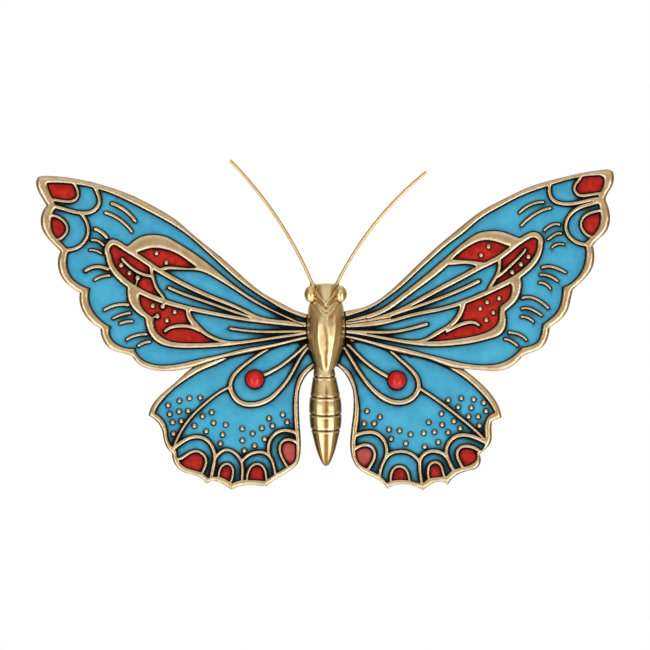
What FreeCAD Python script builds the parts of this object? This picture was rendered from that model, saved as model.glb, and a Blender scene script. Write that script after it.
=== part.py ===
import FreeCAD, Part
import math
import os

# Butterfly wall ornament: four flat wing castings with enamel in their cells, screwed to a
# spine plate behind a three piece body, with wire antennae and a keyhole hanger.
# +X is the viewer's right, +Z up, and the wall is the plane y = 0, so the front looks along -Y.
# Heights are measured from the wing roots' level and moved to the keyhole at the end.
# A share is a fraction of half_span, counted out from the body's axis and up from the roots.

# Overall
half_span = 144.0
wing_dihedral = 5.0
key_rise = 4.0

# Fits and overruns
fit_clearance = 0.05
wing_gap = 0.15
overrun = 1.0

# Wall side
strap_thickness = 1.2
strap_pocket = 4.4
spine_thickness = 1.6

# Wings
floor_thickness = 1.2
relief_height = 1.4
enamel_depth = 0.9
granule_radius = 1.3
root_reach = 8.6
root_gap = 0.4

# A rib's edges are drawn through this many places for each point of its path
band_steps = 3

# Planes, counted forward from the wall
strap_face = -strap_thickness
spine_back = strap_face - strap_pocket
seat_plane = spine_back - spine_thickness
wing_thickness = floor_thickness + relief_height
hindwing_front = seat_plane - wing_thickness
forewing_back = hindwing_front - wing_gap
forewing_front = forewing_back - wing_thickness

# Body
body_axis_depth = 12.0
keel_half_width = 3.2
thorax_top = 17.5
thorax_tip = -19.5
thorax_radius = 9.5
thorax_tip_radius = 7.6
abdomen_top = -12.5
abdomen_tip = -65.7
abdomen_radius = 8.0
head_top = 26.0
head_radius = 6.6
neck_wall = 0.6
neck_radius = body_axis_depth + seat_plane - neck_wall
neck_bottom = 11.0
eye_radius = 3.0
eye_height = 20.5
eye_spread = 7.3
eye_forward = 2.6
antenna_root_drop = 4.4
antenna_root_height = head_top - antenna_root_drop
antenna_root_spread = {"left": 5.2, "right": 3.5}
antenna_diameter = 1.6
antenna_lean = 6.0
antenna_set_back = 1.5
antenna_socket_radius = 1.7
antenna_socket_length = 4.6

# Spine plate and fasteners
spine_top = 23.4
spine_bottom = -44.0
spine_half_width = 4.2
saddle_half_width = 8.4
saddle_top = 10.6
saddle_bottom = -14.5
wing_pocket_top = 12.3
screw_diameter = 2.0
screw_head_diameter = 3.8
screw_head_height = 1.1
wing_screw_bite = 1.9
body_screw_bite = 4.5
forewing_pad = (0.3, 9.0)
hindwing_pad = (-10.6, -1.6)
abdomen_screw_height = -31.0

# Hanger
strap_half_width = 7.0
strap_neck_half_width = 4.0
strap_plateau = 19.0
strap_foot_length = 5.0
strap_below_key = 6.2
key_entry_radius = 4.0
key_slot_half_width = 2.1
key_slot_rise = 8.6

# Bead and bumper
bead_radius = 4.5
bead_girdle = 1.5
bumper_radius = 3.4
bumper_height = -50.0
bumper_stem_radius = 1.2
bumper_stem_length = 3.0

forewing_left_shares = {
    "outline": [
        [(0.027, 0.060), (0.0718, 0.0741), (0.1157, 0.0903), (0.1482, 0.1076), (0.20, 0.135), (0.26, 0.178),
         (0.32, 0.232), (0.40, 0.30), (0.47, 0.357), (0.52, 0.400), (0.565, 0.429), (0.635, 0.467),
         (0.70, 0.496), (0.78, 0.522), (0.86, 0.541), (0.94, 0.551), (0.978, 0.552), (0.996, 0.548),
         (1.004, 0.532), (1.002, 0.513), (0.985, 0.477), (0.968, 0.449)],
        [(0.968, 0.449), (0.986, 0.416), (0.985, 0.372), (0.956, 0.327), (0.920, 0.290)],
        [(0.920, 0.290), (0.929, 0.247), (0.914, 0.198), (0.879, 0.163), (0.853, 0.147)],
        [(0.853, 0.147), (0.851, 0.103), (0.826, 0.057), (0.782, 0.023)],
        [(0.782, 0.023), (0.774, -0.014), (0.748, -0.048), (0.705, -0.063), (0.671, -0.074)],
        [(0.671, -0.074), (0.643, -0.105), (0.60, -0.122), (0.5415, -0.125), (0.471, -0.114),
         (0.40, -0.091), (0.30, -0.0665), (0.208, -0.0470), (0.139, -0.0303), (0.081, -0.0163),
         (0.027, -0.0060)],
    ],
    "field": [
        [(0.058, 0.0555), (0.0718, 0.0590), (0.1157, 0.0745), (0.1482, 0.0890), (0.20, 0.1190),
         (0.287, 0.177), (0.36, 0.24),
         (0.433, 0.307), (0.497, 0.36), (0.555, 0.396), (0.651, 0.447), (0.7475, 0.492),
         (0.863, 0.522), (0.967, 0.527)],
        [(0.967, 0.527), (0.961, 0.503), (0.945, 0.468), (0.935, 0.445)],
        [(0.935, 0.445), (0.951, 0.40), (0.945, 0.352), (0.927, 0.33), (0.892, 0.291)],
        [(0.892, 0.291), (0.899, 0.247), (0.882, 0.1985), (0.852, 0.174), (0.8205, 0.161)],
        [(0.8205, 0.161), (0.817, 0.10), (0.785, 0.054), (0.748, 0.028)],
        [(0.748, 0.028), (0.749, -0.005), (0.72, -0.035), (0.665, -0.046)],
        [(0.665, -0.046), (0.643, -0.0815), (0.60, -0.1015), (0.5415, -0.104), (0.449, -0.086),
         (0.35, -0.0640), (0.278, -0.0463), (0.208, -0.0350), (0.139, -0.0203), (0.081, -0.0066),
         (0.058, -0.0020)],
    ],
    "plates": [
        ([[(0.058, 0.0350), (0.0843, 0.0440), (0.1226, 0.0602), (0.1655, 0.0790), (0.2118, 0.1035),
           (0.25, 0.1262), (0.317, 0.173), (0.383, 0.228), (0.45, 0.28),
           (0.517, 0.322), (0.55, 0.340), (0.603, 0.349), (0.635, 0.344), (0.667, 0.327), (0.690, 0.308)],
          [(0.690, 0.308), (0.686, 0.296)],
          [(0.686, 0.296), (0.6545, 0.275), (0.594, 0.234), (0.570, 0.221)],
          [(0.570, 0.221), (0.557, 0.2255), (0.511, 0.2265), (0.465, 0.2255), (0.434, 0.221),
           (0.383, 0.197), (0.317, 0.157), (0.25, 0.114), (0.15, 0.065), (0.0843, 0.0350),
           (0.058, 0.0270)]],
         [[(0.450, 0.236), (0.483, 0.26), (0.517, 0.282), (0.55, 0.295), (0.60, 0.302), (0.629, 0.296),
           (0.658, 0.284)],
          [(0.658, 0.284), (0.619, 0.250), (0.584, 0.228)],
          [(0.584, 0.228), (0.562, 0.237), (0.526, 0.238), (0.450, 0.236)]]),
        ([[(0.689, 0.178), (0.690, 0.146), (0.685, 0.1185), (0.671, 0.094), (0.652, 0.075), (0.628, 0.060)],
          [(0.628, 0.060), (0.6185, 0.017), (0.588, -0.023), (0.526, -0.043), (0.434, -0.0445),
           (0.35, -0.0390), (0.278, -0.0297), (0.208, -0.0190), (0.139, -0.0089), (0.081, -0.0003),
           (0.058, 0.0035)],
          [(0.058, 0.0035), (0.058, 0.0125)],
          [(0.058, 0.0125), (0.081, 0.0093), (0.139, 0.0012), (0.208, -0.0092), (0.278, -0.0178),
           (0.317, -0.0205), (0.35, -0.017), (0.383, -0.007), (0.417, 0.013), (0.44, 0.037), (0.46, 0.060),
           (0.470, 0.093)],
          [(0.470, 0.093), (0.557, 0.115), (0.629, 0.144), (0.664, 0.163), (0.689, 0.178)]],
         [[(0.487, 0.095), (0.557, 0.115), (0.60, 0.131), (0.645, 0.151)],
          [(0.645, 0.151), (0.645, 0.118), (0.6385, 0.097), (0.606, 0.065), (0.595, 0.057)],
          [(0.595, 0.057), (0.592, 0.020), (0.557, -0.014), (0.48, -0.0275), (0.40, -0.0265),
           (0.367, -0.025)],
          [(0.367, -0.025), (0.403, -0.011), (0.439, 0.012), (0.467, 0.035), (0.483, 0.061),
           (0.487, 0.095)]]),
    ],
    "loops": [
        ([(0.045, 0.036), (0.15, 0.047), (0.233, 0.061), (0.30, 0.092), (0.40, 0.133), (0.50, 0.18),
          (0.594, 0.234), (0.6545, 0.275), (0.715, 0.313), (0.740, 0.3225), (0.754, 0.313),
          (0.7555, 0.280), (0.7455, 0.243), (0.712, 0.1985), (0.664, 0.163), (0.60, 0.131),
          (0.50, 0.099), (0.40, 0.077), (0.30, 0.058), (0.20, 0.044), (0.10, 0.034), (0.045, 0.030)],
         [0.009, 0.012, 0.016, 0.020, 0.022, 0.017, 0.012, 0.009]),
    ],
    "ribs": [
        ([(0.806, 0.522), (0.789, 0.484), (0.786, 0.461), (0.812, 0.428), (0.84, 0.423), (0.876, 0.428),
          (0.908, 0.437), (0.952, 0.448)], [0.015, 0.012]),
        ([(0.880, 0.532), (0.861, 0.50), (0.861, 0.481), (0.876, 0.466), (0.898, 0.463), (0.924, 0.466),
          (0.965, 0.472)], [0.010]),
        ([(0.855, 0.426), (0.831, 0.394), (0.8245, 0.368), (0.828, 0.343), (0.863, 0.303), (0.892, 0.295),
          (0.922, 0.296)], [0.012]),
        ([(0.966, 0.416), (0.924, 0.407), (0.905, 0.391), (0.897, 0.372), (0.914, 0.3395),
          (0.947, 0.328)], [0.010]),
        ([(0.608, 0.242), (0.603, 0.211), (0.597, 0.189), (0.587, 0.163), (0.571, 0.141),
          (0.560, 0.124)], [0.014, 0.010]),
        ([(0.707, 0.264), (0.690, 0.247), (0.661, 0.224), (0.635, 0.211), (0.603, 0.205)], [0.011]),
        ([(0.545, 0.165), (0.50, 0.145), (0.45, 0.127), (0.40, 0.110), (0.35, 0.092), (0.30, 0.075),
          (0.24, 0.056)], [0.011, 0.009]),
        ([(0.5585, 0.014), (0.5415, 0.025), (0.517, 0.031), (0.468, 0.028), (0.440, 0.015)],
         [0.010, 0.014, 0.010]),
        ([(0.332, 0.023), (0.30, 0.018), (0.25, 0.013), (0.15, 0.0117), (0.045, 0.0125)], [0.009]),
        ([(0.653, 0.1985), (0.661, 0.165)], [0.006]),
        ([(0.585, 0.066), (0.603, 0.060)], [0.006]),
    ],
    "dashes": [
        ([(0.743, 0.457), (0.696, 0.4325), (0.661, 0.396)], [0.012]),
        ([(0.765, 0.4245), (0.725, 0.407), (0.674, 0.360)], [0.011]),
        ([(0.800, 0.368), (0.781, 0.359), (0.760, 0.3395)], [0.013]),
        ([(0.812, 0.33), (0.792, 0.327), (0.7715, 0.312)], [0.009]),
        ([(0.820, 0.295), (0.799, 0.293), (0.7795, 0.283)], [0.008]),
        ([(0.834, 0.224), (0.799, 0.237), (0.757, 0.229)], [0.012]),
        ([(0.802, 0.192), (0.776, 0.203), (0.751, 0.2065)], [0.010]),
        ([(0.768, 0.088), (0.732, 0.103), (0.686, 0.105)], [0.011]),
        ([(0.7385, 0.0585), (0.714, 0.069), (0.68, 0.077)], [0.009]),
        ([(0.714, 0.04), (0.695, 0.046), (0.672, 0.048)], [0.010]),
        ([(0.691, -0.015), (0.665, -0.003), (0.623, 0.003)], [0.010]),
        ([(0.651, -0.037), (0.634, -0.028), (0.611, -0.023)], [0.010]),
    ],
    "granules": [
        (0.588, 0.284), (0.554, 0.252), (0.711, 0.242), (0.682, 0.2145), (0.653, 0.1985),
        (0.6015, 0.1015), (0.566, 0.100), (0.525, 0.080), (0.585, 0.066), (0.552, 0.051),
    ],
    "red_seeds": [
        (0.92, 0.495), (0.925, 0.375), (0.56, 0.272), (0.66, 0.245), (0.625, 0.178),
        (0.60, 0.085), (0.48, -0.005),
    ],
}

forewing_right_shares = {
    "outline": [
        [(0.027, 0.070), (0.073, 0.084), (0.13, 0.0967), (0.18, 0.1217), (0.22, 0.1517), (0.27, 0.198),
         (0.33, 0.256), (0.39, 0.3117), (0.45, 0.3617), (0.52, 0.418), (0.56, 0.4435), (0.62, 0.4745),
         (0.70, 0.5125), (0.76, 0.532), (0.84, 0.552), (0.90, 0.565), (0.96, 0.5735), (0.981, 0.5735),
         (0.9925, 0.567), (0.9975, 0.548), (0.991, 0.516), (0.9815, 0.5006), (0.9687, 0.4686)],
        [(0.9687, 0.4686), (0.980, 0.4365), (0.984, 0.4035), (0.972, 0.361), (0.943, 0.331),
         (0.9245, 0.310)],
        [(0.9245, 0.310), (0.930, 0.276), (0.9245, 0.238), (0.898, 0.1978), (0.8565, 0.1593)],
        [(0.8565, 0.1593), (0.850, 0.135), (0.8376, 0.0868), (0.8087, 0.050), (0.775, 0.0275)],
        [(0.775, 0.0275), (0.770, -0.006), (0.7494, -0.0414), (0.7126, -0.0606), (0.6805, -0.0735)],
        [(0.6805, -0.0735), (0.658, -0.0975), (0.6164, -0.1215), (0.552, -0.1235), (0.496, -0.119),
         (0.44, -0.1125), (0.359, -0.084), (0.271, -0.064), (0.205, -0.046), (0.117, -0.020),
         (0.027, -0.003)],
    ],
    "field": [
        [(0.058, 0.060), (0.10, 0.0733), (0.15, 0.0917), (0.20, 0.1217), (0.26, 0.1667), (0.31, 0.213),
         (0.37, 0.268), (0.43, 0.320), (0.48, 0.3567), (0.52, 0.392), (0.56, 0.4205), (0.60, 0.443),
         (0.68, 0.4846), (0.7668, 0.516), (0.8405, 0.539), (0.9046, 0.551), (0.9495, 0.5535)],
        [(0.9495, 0.5535), (0.9615, 0.547)],
        [(0.9615, 0.547), (0.9607, 0.520), (0.9527, 0.5006), (0.940, 0.470)],
        [(0.940, 0.470), (0.9495, 0.430), (0.951, 0.4077), (0.943, 0.371), (0.922, 0.3436),
         (0.8966, 0.3218)],
        [(0.8966, 0.3218), (0.9014, 0.2763), (0.895, 0.241), (0.8758, 0.204), (0.8405, 0.1737),
         (0.8215, 0.165)],
        [(0.8215, 0.165), (0.8167, 0.119), (0.799, 0.077), (0.767, 0.048), (0.7526, 0.037)],
        [(0.7526, 0.037), (0.7478, 0.010), (0.7318, -0.0254), (0.7158, -0.035), (0.6805, -0.043)],
        [(0.6805, -0.043), (0.655, -0.0686), (0.613, -0.0943), (0.552, -0.104), (0.488, -0.099),
         (0.424, -0.0847), (0.36, -0.069), (0.28, -0.048), (0.1967, -0.030), (0.13, -0.0133),
         (0.058, 0.001)],
    ],
    "plates": [
        ([[(0.058, 0.048), (0.12, 0.065), (0.19, 0.0907), (0.25, 0.133), (0.31, 0.180), (0.37, 0.230),
           (0.43, 0.2817), (0.49, 0.3317), (0.53, 0.355), (0.568, 0.362), (0.616, 0.358), (0.658, 0.342),
           (0.682, 0.334)],
          [(0.682, 0.334), (0.678, 0.325)],
          [(0.678, 0.325), (0.6485, 0.306), (0.60, 0.269), (0.54, 0.2395), (0.512, 0.224)],
          [(0.512, 0.224), (0.5233, 0.236)],
          [(0.5233, 0.236), (0.5067, 0.244), (0.48, 0.2467), (0.4233, 0.2427)],
          [(0.4233, 0.2427), (0.39, 0.2133), (0.33, 0.168), (0.27, 0.1233), (0.21, 0.0817), (0.15, 0.0573),
           (0.058, 0.036)]],
         [[(0.4385, 0.263), (0.472, 0.292), (0.504, 0.3127), (0.536, 0.3265), (0.572, 0.3275),
           (0.6036, 0.319), (0.641, 0.306)],
          [(0.641, 0.306), (0.60, 0.272), (0.565, 0.252)],
          [(0.565, 0.252), (0.550, 0.253), (0.52, 0.257), (0.469, 0.261), (0.4385, 0.263)]]),
        ([[(0.674, 0.203), (0.679, 0.180), (0.677, 0.1605), (0.663, 0.122), (0.639, 0.098), (0.621, 0.082)],
          [(0.621, 0.082), (0.626, 0.0515), (0.6196, 0.0195), (0.597, -0.003), (0.565, -0.014),
           (0.52, -0.0254),
           (0.456, -0.035), (0.36, -0.0395), (0.2967, -0.0333), (0.23, -0.0217), (0.163, -0.0083),
           (0.058, 0.007)],
          [(0.058, 0.007), (0.058, 0.016)],
          [(0.058, 0.016), (0.163, 0.0017), (0.23, -0.010), (0.2967, -0.0177), (0.3367, -0.0133),
           (0.376, 0.010),
           (0.4145, 0.0323), (0.443, 0.058), (0.459, 0.0868), (0.464, 0.108)],
          [(0.464, 0.108), (0.533, 0.1365), (0.594, 0.1637), (0.639, 0.189), (0.674, 0.203)]],
         [[(0.487, 0.113), (0.533, 0.1345), (0.594, 0.1617), (0.640, 0.180)],
          [(0.640, 0.180), (0.643, 0.157), (0.6356, 0.128), (0.613, 0.106), (0.602, 0.098)],
          [(0.602, 0.098), (0.601, 0.074), (0.5956, 0.042), (0.568, 0.016), (0.533, 0.002),
           (0.488, -0.0078),
           (0.424, -0.017), (0.3467, -0.0217)],
          [(0.3467, -0.0217), (0.379, -0.006), (0.413, 0.0147), (0.453, 0.042), (0.475, 0.074),
           (0.487, 0.113)]]),
        ([[(0.100, 0.034), (0.160, 0.0355), (0.2267, 0.046)],
          [(0.2267, 0.046), (0.2267, 0.076)],
          [(0.2267, 0.076), (0.160, 0.054), (0.100, 0.042)]],
         []),
    ],
    "loops": [
        ([(0.045, 0.0375), (0.13, 0.0467), (0.1967, 0.065), (0.2633, 0.090), (0.33, 0.125), (0.40, 0.1640),
          (0.48, 0.206), (0.54, 0.2385), (0.60, 0.269), (0.6485, 0.306), (0.6995, 0.342), (0.7205, 0.3485),
          (0.738, 0.3405), (0.7435, 0.318), (0.740, 0.292), (0.724, 0.2585), (0.696, 0.2285),
          (0.661, 0.2020),
          (0.594, 0.1657), (0.533, 0.1365), (0.472, 0.1124), (0.3967, 0.090), (0.33, 0.0767),
          (0.2633, 0.060),
          (0.1967, 0.0417), (0.13, 0.0333), (0.045, 0.030)],
         [0.009, 0.012, 0.018, 0.019, 0.021, 0.020, 0.014, 0.012, 0.009]),
    ],
    "ribs": [
        ([(0.779, 0.530), (0.775, 0.495), (0.783, 0.4734), (0.815, 0.4567), (0.866, 0.4574),
          (0.9174, 0.4686),
          (0.952, 0.4745)], [0.013]),
        ([(0.886, 0.556), (0.869, 0.528), (0.861, 0.5135), (0.871, 0.4894), (0.9046, 0.4846),
          (0.960, 0.490)],
         [0.011]),
        ([(0.945, 0.462), (0.914, 0.454), (0.863, 0.433), (0.834, 0.395), (0.8357, 0.3564),
          (0.8597, 0.3276),
          (0.920, 0.317)], [0.013]),
        ([(0.965, 0.434), (0.927, 0.427), (0.892, 0.4077), (0.884, 0.390), (0.895, 0.358), (0.937, 0.338)],
         [0.010]),
        ([(0.600, 0.268), (0.6015, 0.240), (0.5956, 0.215), (0.578, 0.183),
          (0.562, 0.151)], [0.014, 0.012]),
        ([(0.692, 0.297), (0.6805, 0.282), (0.6485, 0.250), (0.613, 0.2166),
          (0.594, 0.203)], [0.009, 0.012]),
        ([(0.530, 0.1875), (0.48, 0.1633), (0.4133, 0.135), (0.3467, 0.110), (0.2833, 0.0883),
          (0.22, 0.0670)], [0.013, 0.010]),
        ([(0.530, 0.0350), (0.514, 0.0435), (0.482, 0.0415), (0.4465, 0.0275), (0.419, 0.0125)],
         [0.010, 0.014, 0.010]),
        ([(0.350, 0.0383), (0.2967, 0.0233), (0.2467, 0.0130), (0.1633, 0.010), (0.045, 0.0125)],
         [0.012, 0.009]),
    ],
    "dashes": [
        ([(0.7536, 0.4618), (0.7187, 0.4558), (0.69, 0.4413), (0.6710, 0.4254)], [0.009]),
        ([(0.779, 0.4403), (0.7347, 0.4253), (0.709, 0.409), (0.6777, 0.3808)], [0.010]),
        ([(0.809, 0.3837), (0.7924, 0.3846), (0.773, 0.377), (0.7566, 0.3635)], [0.009]),
        ([(0.8145, 0.353), (0.799, 0.3516), (0.783, 0.342), (0.770, 0.3325)], [0.009]),
        ([(0.824, 0.3145), (0.8085, 0.3163), (0.7924, 0.3115), (0.7835, 0.3035)], [0.008]),
        ([(0.750, 0.2350), (0.773, 0.2385), (0.802, 0.2314), (0.8305, 0.218)], [0.010]),
        ([(0.743, 0.2096), (0.7636, 0.208), (0.786, 0.1994), (0.803, 0.188)], [0.009]),
        ([(0.739, 0.1817), (0.7556, 0.1795), (0.770, 0.1705), (0.7785, 0.161)], [0.009]),
        ([(0.681, 0.1290), (0.706, 0.1317), (0.738, 0.1204), (0.770, 0.0950)], [0.010]),
        ([(0.679, 0.0920), (0.70, 0.0932), (0.722, 0.085), (0.7474, 0.0690)], [0.009]),
        ([(0.6777, 0.0640), (0.693, 0.0618), (0.709, 0.0547), (0.719, 0.0465)], [0.009]),
        ([(0.6344, 0.0098), (0.655, 0.0067), (0.677, -0.0014), (0.695, -0.0160)], [0.009]),
        ([(0.620, -0.0140), (0.6356, -0.0174), (0.6517, -0.027), (0.6645, -0.0364)], [0.009]),
    ],
    "granules": [
        (0.564, 0.307), (0.538, 0.2775), (0.702, 0.272), (0.676, 0.2455), (0.646, 0.218),
        (0.600, 0.1275), (0.559, 0.114), (0.535, 0.0916), (0.580, 0.078), (0.556, 0.0525),
    ],
    "red_seeds": [
        (0.92, 0.515), (0.925, 0.395), (0.56, 0.290), (0.63, 0.256), (0.615, 0.186),
        (0.575, 0.060), (0.48, 0.012),
    ],
}

hindwing_left_shares = {
    "outline": [
        [(0.027, -0.006), (0.058, -0.002), (0.090, 0.000), (0.140, -0.006), (0.20, -0.018), (0.32, -0.042),
         (0.42, -0.084),
         (0.480, -0.127), (0.523, -0.167), (0.5755, -0.212), (0.605, -0.252), (0.613, -0.280)],
        [(0.613, -0.280), (0.586, -0.299), (0.567, -0.330), (0.561, -0.361), (0.5535, -0.384),
         (0.532, -0.411)],
        [(0.532, -0.411), (0.5285, -0.434), (0.500, -0.472), (0.4515, -0.488), (0.413, -0.5165)],
        [(0.413, -0.5165), (0.3745, -0.509), (0.34, -0.528), (0.3245, -0.538)],
        [(0.3245, -0.538), (0.2785, -0.522), (0.2245, -0.524), (0.205, -0.526)],
        [(0.205, -0.526), (0.1745, -0.503), (0.121, -0.470), (0.0935, -0.442), (0.0866, -0.413),
         (0.0845, -0.3785), (0.0865, -0.340), (0.0893, -0.300), (0.0912, -0.240), (0.0900, -0.204),
         (0.0842, -0.177), (0.0735, -0.154), (0.0615, -0.136), (0.045, -0.122), (0.027, -0.108)],
    ],
    "field": [
        [(0.058, -0.034), (0.10, -0.022), (0.20, -0.032), (0.328, -0.0765), (0.39, -0.106), (0.44, -0.1275),
         (0.475, -0.149), (0.515, -0.176), (0.555, -0.214), (0.583, -0.250), (0.592, -0.272)],
        [(0.592, -0.272), (0.570, -0.288), (0.551, -0.325), (0.547, -0.361), (0.538, -0.380),
         (0.516, -0.402)],
        [(0.516, -0.402), (0.512, -0.430), (0.487, -0.458), (0.445, -0.472), (0.408, -0.497)],
        [(0.408, -0.497), (0.374, -0.492), (0.326, -0.515)],
        [(0.326, -0.515), (0.280, -0.503), (0.228, -0.505), (0.208, -0.507)],
        [(0.208, -0.507), (0.178, -0.485), (0.130, -0.456), (0.108, -0.438), (0.102, -0.405),
         (0.107, -0.326), (0.111, -0.249), (0.105, -0.185), (0.0903, -0.141), (0.0694, -0.1165),
         (0.050, -0.1015), (0.037, -0.096)],
        [(0.037, -0.096), (0.0463, -0.0752), (0.0545, -0.0567), (0.058, -0.044), (0.058, -0.034)],
    ],
    "plates": [],
    "loops": [],
    "ribs": [
        ([(0.150, -0.022), (0.205, -0.051), (0.255, -0.084), (0.294, -0.115), (0.321, -0.145),
          (0.330, -0.176),
          (0.321, -0.207), (0.298, -0.232), (0.267, -0.2415), (0.232, -0.238), (0.198, -0.224),
          (0.163, -0.195), (0.132, -0.157), (0.109, -0.1185), (0.090, -0.084), (0.045, -0.030)],
         [0.010, 0.011, 0.018, 0.018, 0.012, 0.010]),
        ([(0.217, -0.140), (0.19, -0.128), (0.1515, -0.105), (0.121, -0.082), (0.094, -0.059),
          (0.045, -0.014)], [0.013, 0.009]),
        ([(0.330, -0.180), (0.371, -0.201), (0.409, -0.23), (0.448, -0.265), (0.4785, -0.299),
          (0.5015, -0.334), (0.517, -0.365), (0.530, -0.398)], [0.009]),
        ([(0.535, -0.402), (0.494, -0.3685), (0.463, -0.355), (0.432, -0.355), (0.405, -0.370),
          (0.390, -0.395), (0.384, -0.422), (0.388, -0.453), (0.396, -0.505)], [0.013]),
        ([(0.525, -0.430), (0.496, -0.4255), (0.475, -0.411), (0.4515, -0.403), (0.4285, -0.411),
          (0.415, -0.430), (0.417, -0.453), (0.430, -0.482)], [0.010]),
        ([(0.386, -0.434), (0.371, -0.413), (0.348, -0.399), (0.325, -0.403), (0.305, -0.4185),
          (0.292, -0.440), (0.288, -0.465), (0.290, -0.515)], [0.011]),
        ([(0.370, -0.503), (0.369, -0.476), (0.361, -0.457), (0.344, -0.447), (0.3265, -0.455),
          (0.321, -0.476), (0.330, -0.512)], [0.009]),
        ([(0.290, -0.441), (0.267, -0.4165), (0.24, -0.407), (0.213, -0.409), (0.194, -0.422),
          (0.182, -0.445), (0.172, -0.493)], [0.011]),
        ([(0.271, -0.512), (0.265, -0.468), (0.250, -0.451), (0.2285, -0.449), (0.213, -0.463),
          (0.207, -0.484), (0.203, -0.513)], [0.009]),
        ([(0.194, -0.422), (0.198, -0.388), (0.192, -0.365), (0.175, -0.3435), (0.1515, -0.332),
          (0.1285, -0.332), (0.096, -0.344)], [0.012]),
        ([(0.092, -0.384), (0.113, -0.3665), (0.132, -0.363), (0.1515, -0.372), (0.159, -0.3935),
          (0.155, -0.415), (0.144, -0.438), (0.128, -0.466)], [0.010]),
    ],
    "dashes": [],
    "granules": [
        (0.546, -0.2435), (0.507, -0.228), (0.472, -0.2185), (0.435, -0.217), (0.541, -0.274),
        (0.5085, -0.265), (0.477, -0.263), (0.531, -0.303), (0.501, -0.2985), (0.528, -0.342),
        (0.427, -0.282), (0.395, -0.268), (0.455, -0.315), (0.389, -0.305), (0.414, -0.334),
        (0.3465, -0.3115), (0.357, -0.346), (0.365, -0.3765), (0.289, -0.325), (0.253, -0.3415),
        (0.2885, -0.366), (0.2465, -0.384), (0.282, -0.401), (0.221, -0.323), (0.2115, -0.361),
        (0.196, -0.289), (0.184, -0.315), (0.1485, -0.276), (0.133, -0.303),
    ],
    "red_seeds": [(0.465, -0.440), (0.345, -0.480), (0.237, -0.480), (0.130, -0.405)],
    "bead": (0.245, -0.154),
}

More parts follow.
